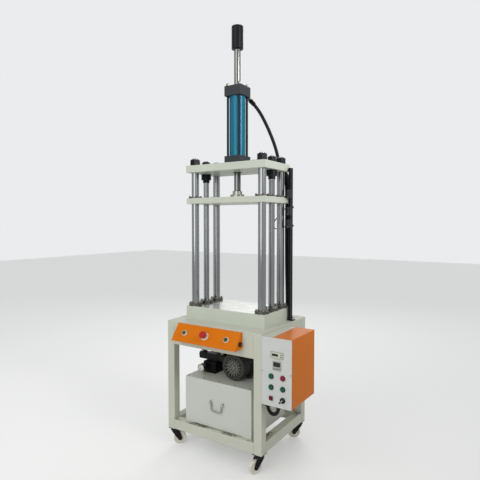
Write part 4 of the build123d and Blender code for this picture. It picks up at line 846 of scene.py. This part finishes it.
tubes = np.concatenate([
    carried(post_outline, *[[(x, y, z) for x, y in corners] for z in (foot_z, head_z)], side, front_way),
    carried(low_outline, *[[(x, y, low_z) for y in (near_y, far_y)] for x in x_ends], front_way, up),
    carried(low_outline, *[[(x, y, low_z) for x in (left_x, right_x)] for y in y_ends], side, up),
    carried(top_outline, *[[(x, far_y, top_z)] for x in x_ends], front_way, up),
    carried(top_outline, *[[(x, y, top_z) for x in (left_x, right_x)] for y in y_ends], side, up),
    carried(bar_outline, *[[(x, y, bar_z) for x in bar_x] for y in (near_y, far_y)], side, up),
])
open_frame = piece("open_frame", tubes, stand_paint, "stand_paint", smooth=False)
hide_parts("stand_frame")
reach, tall = post / 2 - step, apron / 2
folded = np.array([
    (-reach, -tall), (reach, -tall), (reach, sheet - tall), (sheet - reach, sheet - tall),
    (sheet - reach, tall - sheet), (reach, tall - sheet), (reach, tall), (-reach, tall),
])
apron_run = carried(folded, *[[(x, near_y, head_z - tall)] for x in x_ends], front_way, up)
piece("folded_apron", apron_run, stand_paint, "stand_paint", smooth=False)
print("tubes and bars in the frame:", len(tubes))

# %% [markdown]
# ## Weld beads
#
# The stand is welded from square tube, and a bead runs down every joint between a post
# and a rail. A bead is a thin tube with ripples, half sunk in the steel, that fades out
# at both ends: P(s, a) = start + s (end - start) + r(s) (cos a N + sin a B).

# %% Beads at the joints of posts and rails


def beads(joints, radius=0.0018, pitch=0.0042, fade_out=0.003):
    """Rippled beads between pairs of points that all run the same way."""
    starts, ends = np.array(joints, float).transpose(1, 0, 2)
    length = np.linalg.norm(ends - starts, axis=1)
    s = np.linspace(0, 1, 150)
    ripple = 1 + 0.16 * np.cos(2 * np.pi * s[None] * length[:, None] / pitch)
    fade = np.clip(np.minimum(s, 1 - s)[None] * length[:, None] / fade_out, 0, 1) ** 0.5
    thick = radius * ripple * fade
    ring = circle(*across(ends[0] - starts[0]), 8)
    line = starts[:, None] + s[None, :, None] * (ends - starts)[:, None]
    return line[:, :, None] + thick[:, :, None, None] * ring


inner_x, inner_y = [(stand_low[i] + post, stand_high[i] - post) for i in (0, 1)]
outer_x, outer_y = [(stand_low[i] + step, stand_high[i] - step) for i in (0, 1)]
places = [(x, y, drop) for x in inner_x for y, drop in zip(outer_y, (apron, post))]
places += [(x, y, post) for y in inner_y for x in outer_x]
joints = [
    ((x, y, bottom), (x, y, top))
    for x, y, drop in places
    for bottom, top in ((foot_z, foot_z + rail), (head_z - drop, head_z))
]
piece("frame_welds", beads(joints), stand_paint, "stand_paint")
print("weld beads:", len(joints))

# %% Welded corners of the tank
lid_low, lid_high = low("tank_lid"), high("tank_lid")
tank_x = (tank_low[0] + step, tank_high[0] - step)
tank_y = (lid_low[1] + step, tank_high[1] - step)
tank_joints = [((x, y, tank_low[2]), (x, y, tank_high[2])) for x in tank_x for y in tank_y]
piece("tank_welds", beads(tank_joints, radius=0.0012), tank_paint, "tank_white")

# %% [markdown]
# ## Screws
#
# A pan head is a turned shape with a dimple for the key. All heads of one size that look
# the same way are one mesh, which keeps the scene light.

# %% Pan-head screws on lids, panels and boxes


def pan_screws(name, centres, axis, head):
    """Pan heads of a given diameter: a rim, a rounded shoulder, a flat and a key dimple."""
    r, h = head / 2, head * 0.4
    shoulder = [(r, -h / 2), (r, h * 0.45), (r * 0.92, h * 0.75), (r * 0.7, h), (r * 0.45, h)]
    profile = [(0, -h / 2), *shoulder, (r * 0.38, h * 0.4), (0, h * 0.4)]
    piece(name, turned(profile, centres, axis, steps=20), zinc_steel, "bright_steel")


lid_inset, lid_plate = (0.014, 0.013), 0.006
lid_x = np.linspace(lid_low[0] + lid_inset[0], lid_high[0] - lid_inset[0], 5)
lid_y = (lid_low[1] + lid_inset[1], lid_high[1] - lid_inset[1])
lid_spots = [(x, y, tank_high[2] + lid_plate) for x in lid_x for y in lid_y]
pan_screws("lid_screws", lid_spots, up, 0.010)

cover_low, cover_high, cover_inset = low("rear_panel"), high("rear_panel"), 0.012
cover_x = np.linspace(cover_low[0] + cover_inset, cover_high[0] - cover_inset, 4)
middle_row = (cover_low[2] + cover_high[2]) / 2 - 0.02
cover_z = (cover_low[2] + cover_inset, middle_row, cover_high[2] - cover_inset)
cover_spots = [
    (x, cover_high[1], z)
    for x in cover_x for z in cover_z if x in cover_x[[0, -1]] or z != middle_row
]
pan_screws("rear_panel_screws", cover_spots, front_way, 0.009)

box_low, box_high, box_inset = low("control_box"), high("control_box"), 0.04
box_z = np.linspace(box_low[2] + box_inset, box_high[2] - box_inset, 3)
side_spots = [(box_high[0], y, z) for y in (box_low[1] + 0.012, box_high[1] - 0.014) for z in box_z]
pan_screws("control_box_screws", side_spots, side, 0.008)

slope_low, slope_high, slope_inset = low("button_box"), high("button_box"), 0.03
slope_x = np.linspace(slope_low[0] + slope_inset, slope_high[0] - slope_inset, 3)
top_spots = [(x, slope_high[1] - 0.0048, slope_high[2]) for x in slope_x]
pan_screws("button_box_screws", top_spots, up, 0.006)

# %% [markdown]
# ## Rounded plates
#
# Windows, keys, lamp lenses and terminal covers are all flat plates with rounded corners.
# Their outline is a superellipse, |x / a|^n + |y / b|^n = 1, which has no seams to hide.

# %% A plate with rounded corners and a soft front edge


def plaque(centres, size, facing, power=7, edge=0.0006, turn=0.0):
    """P(k, t) = centre + x_k S(cos t) first + y_k S(sin t) second + h_k facing.

    S(c) = sign(c) |c| ^ (2 / power), and size is (width, height, rise). The rings k go from
    a point at the back over the wall and the soft edge to a point at the front.
    """
    width, height, rise = size
    t = np.linspace(0, 2 * np.pi, 48, endpoint=False)
    wide, high_way = [np.sign(c) * np.abs(c) ** (2 / power) for c in (np.cos(t), np.sin(t))]
    a, b = width / 2, height / 2
    rings = [(0, 0, 0), (a, b, 0), (a, b, rise - edge), (a - edge, b - edge, rise), (0, 0, rise)]
    first, second = across(facing)
    first, second = (
        np.cos(turn) * first + np.sin(turn) * second,
        np.cos(turn) * second - np.sin(turn) * first,
    )
    grid = np.array([
        x * wide[:, None] * first + y * high_way[:, None] * second + h * np.asarray(facing, float)
        for x, y, h in rings
    ])
    return np.asarray(centres, float).reshape(-1, 1, 1, 3) + grid[None]


# %% Finishes of screens and lenses


def make_glassy(name, colour):
    """A dark window: smooth, with faint smears in its roughness and tint."""
    material, tree, shader = blank(name)
    smear = noise(tree, place_in(tree), 120.0, 4.0)
    doubled = [2 * c for c in linear(*colour)]
    feed_all(
        tree, shader, Base_Color=scaled(tree, doubled, smear),
        Roughness=ranged(tree, smear, to_min=0.06, to_max=0.22), Specular_IOR_Level=0.25,
    )
    return material


screen_dark = make_glassy("screen_dark", (34, 40, 37))
lens_red = make_glassy("lens_red", (92, 6, 26))
key_grey = moulded("key_grey", (128, 132, 132), roughness=0.45)
face_cream = moulded("face_cream", (204, 202, 188), roughness=0.4, dust=0.05)

# %% Counter, timer and lamp on the control panel
face_y = low("panel_displays")[1]
toward = (0, -1, 0)
counter, timer, lamp = (0.329, 0.660), (0.329, 0.605), (0.2955, 0.433)


def on_panel(instrument, offsets, size, **shape):
    """Plaques on the front of an instrument, offset from its middle."""
    spots = [(instrument[0] + dx, face_y, instrument[1] + dz) for dx, dz in offsets]
    return plaque(spots, size, toward, **shape)


key_pairs = [(0.025, 0.006), (0.025, -0.006)]
key_row = [(dx, -0.014) for dx in (-0.015, -0.005, 0.005, 0.015)]
counter_face = on_panel(counter, [(0, 0)], (0.066, 0.030, 0.0006))
counter_window = on_panel(counter, [(-0.010, 0.002)], (0.036, 0.013, 0.0014))
timer_window = on_panel(timer, [(0, 0.008)], (0.040, 0.023, 0.0012))
piece("counter_face", counter_face, face_cream, "device_grey")
piece("counter_window", counter_window, screen_dark, "black_plastic")
piece("counter_keys", on_panel(counter, key_pairs, (0.009, 0.007, 0.0016)), key_grey, "device_grey")
piece("timer_window", timer_window, screen_dark, "black_plastic")
piece("timer_keys", on_panel(timer, key_row, (0.008, 0.006, 0.0016)), key_grey, "device_grey")
panel_low, panel_high, panel_inset = low("control_panel"), high("control_panel"), 0.006
panel_z = (panel_low[2] + panel_high[2]) / 2
panel_x = (panel_low[0] + panel_inset, panel_high[0] - panel_inset)
pan_screws("panel_edge_screws", [(x, panel_low[1], panel_z) for x in panel_x], toward, 0.006)
lens = on_panel(lamp, [(0, 0)], (0.022, 0.022, 0.003), edge=0.0012)
piece("lamp_lens", lens, lens_red, "red_plastic")

# %% White pointer line on the selector's lever
lever_way = np.array((1, 0, 1)) / 2 ** 0.5
knob_front = (0, low("selector_knob")[1], 0)
pointer_at = middle("selector_knob") * (1, 0, 1) + knob_front + 0.003 * lever_way
pointer = plaque([pointer_at], (0.018, 0.0024, 0.0004), toward, edge=0.0002, turn=np.pi / 4)
pointer_white = moulded("pointer_white", (232, 230, 222), roughness=0.4, dust=0.0)
piece("selector_pointer", pointer, pointer_white, "cream_plastic", body="selector")

# %% [markdown]
# ## Pressure gauge
#
# The gauge is a small can with a rolled ring, a white dial with a scale, and a needle.
# The scale comes from the angle around the dial's middle, so it needs no picture.

# %% Dial, ring and needle
gauge_mid = middle("pressure_gauge")
gauge_mid[1] = low("pressure_gauge")[1]
tick_count, tick_radius, tick_half, lowest_tick = 30, 0.0158, 0.0017, -0.011


def make_dial():
    """White card with ticks between two radii, worked out from the angle."""
    material, tree, shader = blank("dial_card")
    centred = add_node(tree, "Mapping", Vector=place_in(tree), Location=(-gauge_mid).tolist())
    axes = add_node(tree, "SeparateXYZ", Vector=centred.outputs[0]).outputs
    angle = maths(tree, "ARCTAN2", axes["X"], axes["Z"])
    count = maths(tree, "MULTIPLY", angle, tick_count / (2 * np.pi))
    tick = maths(tree, "LESS_THAN", maths(tree, "PINGPONG", count, 0.5), 0.12)
    squares = [maths(tree, "MULTIPLY", axes[k], axes[k]) for k in "XZ"]
    radius = maths(tree, "SQRT", maths(tree, "ADD", *squares))
    ring = maths(tree, "COMPARE", radius, tick_radius, tick_half)
    upper = maths(tree, "GREATER_THAN", axes["Z"], lowest_tick)
    shown = maths(tree, "MULTIPLY", maths(tree, "MULTIPLY", tick, ring), upper)
    card = mixed(tree, shown, linear(232, 232, 226), linear(20, 20, 22))
    feed_all(tree, shader, Base_Color=card, Roughness=0.25, Coat_Weight=0.6)
    return material


dial_radius, dial_thick, roll = 0.0200, 0.0006, 0.0018
disc = [(0, 0), (dial_radius, 0), (dial_radius, dial_thick), (0, dial_thick)]
piece("gauge_dial", turned(disc, [gauge_mid], toward), make_dial(), "bright_steel")
rolled = [
    (0.0196 + roll * (1 - np.cos(a)), roll * np.sin(a) + dial_thick)
    for a in np.linspace(0, 2 * np.pi, 12, endpoint=False)
]
ring_grid = turned(rolled, [gauge_mid], toward, steps=64)
piece("gauge_ring", ring_grid, zinc_steel, "bright_steel", wrap_u=True)
needle_at = gauge_mid + np.array((-0.0042, -0.0006, -0.0030))
needle = plaque([needle_at], (0.0012, 0.015, 0.0008), toward, edge=0.0002, turn=2.19)
piece("gauge_needle", needle, black_plastic, "black_plastic")
hub = turned([(0, 0), (0.0024, 0), (0.0020, 0.0022), (0, 0.0022)], [gauge_mid], toward, steps=24)
piece("gauge_hub", hub, black_plastic, "black_plastic")

# %% [markdown]
# ## Motor, valve and switches
#
# The motor has a screwed terminal cover, the valve a plug on each coil, and each position
# switch a cover plate with two screws and a small lamp.

# %% Terminal cover and its screws
cover_mid = np.array((-0.005, low("motor_housing")[1] + 0.080, high("motor_housing")[2]))
cover_plate = plaque([cover_mid], (0.080, 0.066, 0.003), up)
piece("terminal_cover", cover_plate, motor_paint, "motor_grey")
cover_corners = [cover_mid + (sx * 0.027, sy * 0.034, 0.003) for sx in (-1, 1) for sy in (-1, 1)]
pan_screws("terminal_screws", cover_corners, up, 0.007)

# %% Screws round the fan cover's rim
fan_high, fan_mid = high("fan_cover"), middle("fan_cover")
for quarter in range(4):
    turn = np.pi / 4 + quarter * np.pi / 2
    outward = np.array((np.cos(turn), 0, np.sin(turn)))
    rim_y = (0, fan_high[1] - 0.008, 0)
    spot = fan_mid * (1, 0, 1) + rim_y + outward * (fan_high[0] - fan_mid[0])
    pan_screws(f"fan_cover_screw_{quarter}", [spot], outward, 0.008)

# %% Plugs on the valve's two coils
valve_low, valve_high = low("solenoid_valve"), high("solenoid_valve")
valve_y, coil_inset = middle("solenoid_valve")[1], 0.036
coil_x = (valve_low[0] + coil_inset, valve_high[0] - coil_inset)
plug_spots = [(x, valve_y, valve_high[2] - 0.004) for x in coil_x]
plugs = plaque(plug_spots, (0.028, 0.028, 0.026), up, edge=0.0025)
piece("coil_plugs", plugs, black_plastic, "black_plastic")
nut_profile = [(0, 0), (0.0075, 0), (0.0080, 0.002), (0.0080, 0.008), (0.0062, 0.010), (0, 0.010)]
nut_spots = [(x, valve_y - 0.014, valve_high[2] + 0.010) for x in coil_x]
nuts = turned(nut_profile, nut_spots, toward, steps=24)
piece("coil_plug_nuts", nuts, device_grey, "black_plastic")
pan_screws("coil_plug_screws", [(x, valve_y, valve_high[2] + 0.022) for x in coil_x], up, 0.005)

# %% Cover plates, screws and lamps of the position switches
switch_y, switch_x = low("position_switches")[1], high("position_switches")[0] - 0.011
switch_z = (1.331, 1.405, 1.506)
switch_face = [(switch_x, switch_y, z) for z in switch_z]
cover_dark = moulded("cover_dark", (46, 47, 48), roughness=0.4, dust=0.05)
covers = plaque(switch_face, (0.018, 0.046, 0.0012), toward)
piece("switch_covers", covers, cover_dark, "black_plastic")
bulb = [(0, 0), (0.0018, 0), (0.0014, 0.0020), (0, 0.0024)]
piece("switch_lamps", turned(bulb, switch_face, toward, steps=16), lens_red, "red_plastic")
switch_spots = [(switch_x, switch_y - 0.0012, z + dz) for z in switch_z for dz in (-0.018, 0.018)]
pan_screws("switch_screws", switch_spots, toward, 0.0045)

# %% [markdown]
# ## Floor and light
#
# A wide pale floor and a white world stand in for the hall. Two large soft lamps in front,
# a narrow one at the right and one behind give the chrome its long highlights. Camera,
# glossy and transmission rays see a brighter background than the one that lights the press.

# %% Floor
floor_half = 14.0
floor_ends = np.array([-floor_half, floor_half])
floor_grid = np.zeros((1, 2, 2, 3))
floor_grid[0, :, :, 0] = floor_ends[:, None]
floor_grid[0, :, :, 1] = floor_ends[None, :]
floor = surface("floor", floor_grid, wrap_v=False, smooth=False)
floor_material, floor_tree, floor_shader = blank("floor_pale")
feed_all(floor_tree, floor_shader, Base_Color=linear(226, 226, 223), Roughness=0.6)


def seen_rays(tree):
    """One for the rays whose background shows: camera, glossy and transmission rays."""
    path = add_node(tree, "LightPath").outputs
    first = maths(tree, "MAXIMUM", path["Is Camera Ray"], path["Is Glossy Ray"])
    return maths(tree, "MAXIMUM", first, path["Is Transmission Ray"])


seen_white = (0.94, 0.95, 0.96, 1)
lift = add_node(floor_tree, "Emission", Color=seen_white, Strength=1.0).outputs[0]
none = add_node(floor_tree, "Emission", Color=(0, 0, 0, 1), Strength=0.0).outputs[0]
share = maths(floor_tree, "MULTIPLY", seen_rays(floor_tree), 0.26)
extra = worked(floor_tree, "MixShader", (share, none, lift))[0]
ground = worked(floor_tree, "AddShader", (floor_shader.outputs[0], extra))[0]
feed_all(floor_tree, floor_tree.nodes["Material Output"], Surface=ground)
floor.data.materials.append(floor_material)

# %% World and lamps
world = bpy.data.worlds.new("studio")
bpy.context.scene.world = world
world.use_nodes = True
sky = world.node_tree
dim = feed_all(sky, sky.nodes["Background"], Color=(0.93, 0.95, 0.97, 1), Strength=0.5)
bright = add_node(sky, "Background", Color=seen_white, Strength=0.88)
choose = worked(sky, "MixShader", (seen_rays(sky), dim.outputs[0], bright.outputs[0]))[0]
feed_all(sky, sky.nodes["World Output"], Surface=choose)


def soft_lamp(name, place, target, width, height, power, spread=180):
    """A rectangular area lamp at place, turned towards target, its height kept upright."""
    data = bpy.data.lights.new(name, "AREA")
    data.shape = "RECTANGLE"
    data.size = width
    data.size_y = height
    data.energy = power
    data.spread = np.radians(spread)
    lamp = linked(name, data)
    lamp.location = place
    lamp.rotation_euler = (Vector(target) - Vector(place)).to_track_quat("-Z", "Y").to_euler()


soft_lamp("key_lamp", (-1.6, -3.4, 4.3), (0, 0, 1.0), 2.2, 2.2, 28)
soft_lamp("window_lamp", (0.2, -4.3, 2.4), (0, 0, 1.6), 2.6, 3.2, 62)
soft_lamp("side_lamp", (2.7, -0.4, 2.7), (0, 0, 1.95), 1.2, 1.2, 9, spread=70)
soft_lamp("rear_lamp", (-1.5, 3.4, 3.2), (0, 0, 1.3), 2.0, 2.0, 30)
bpy.context.scene.view_settings.view_transform = "Standard"
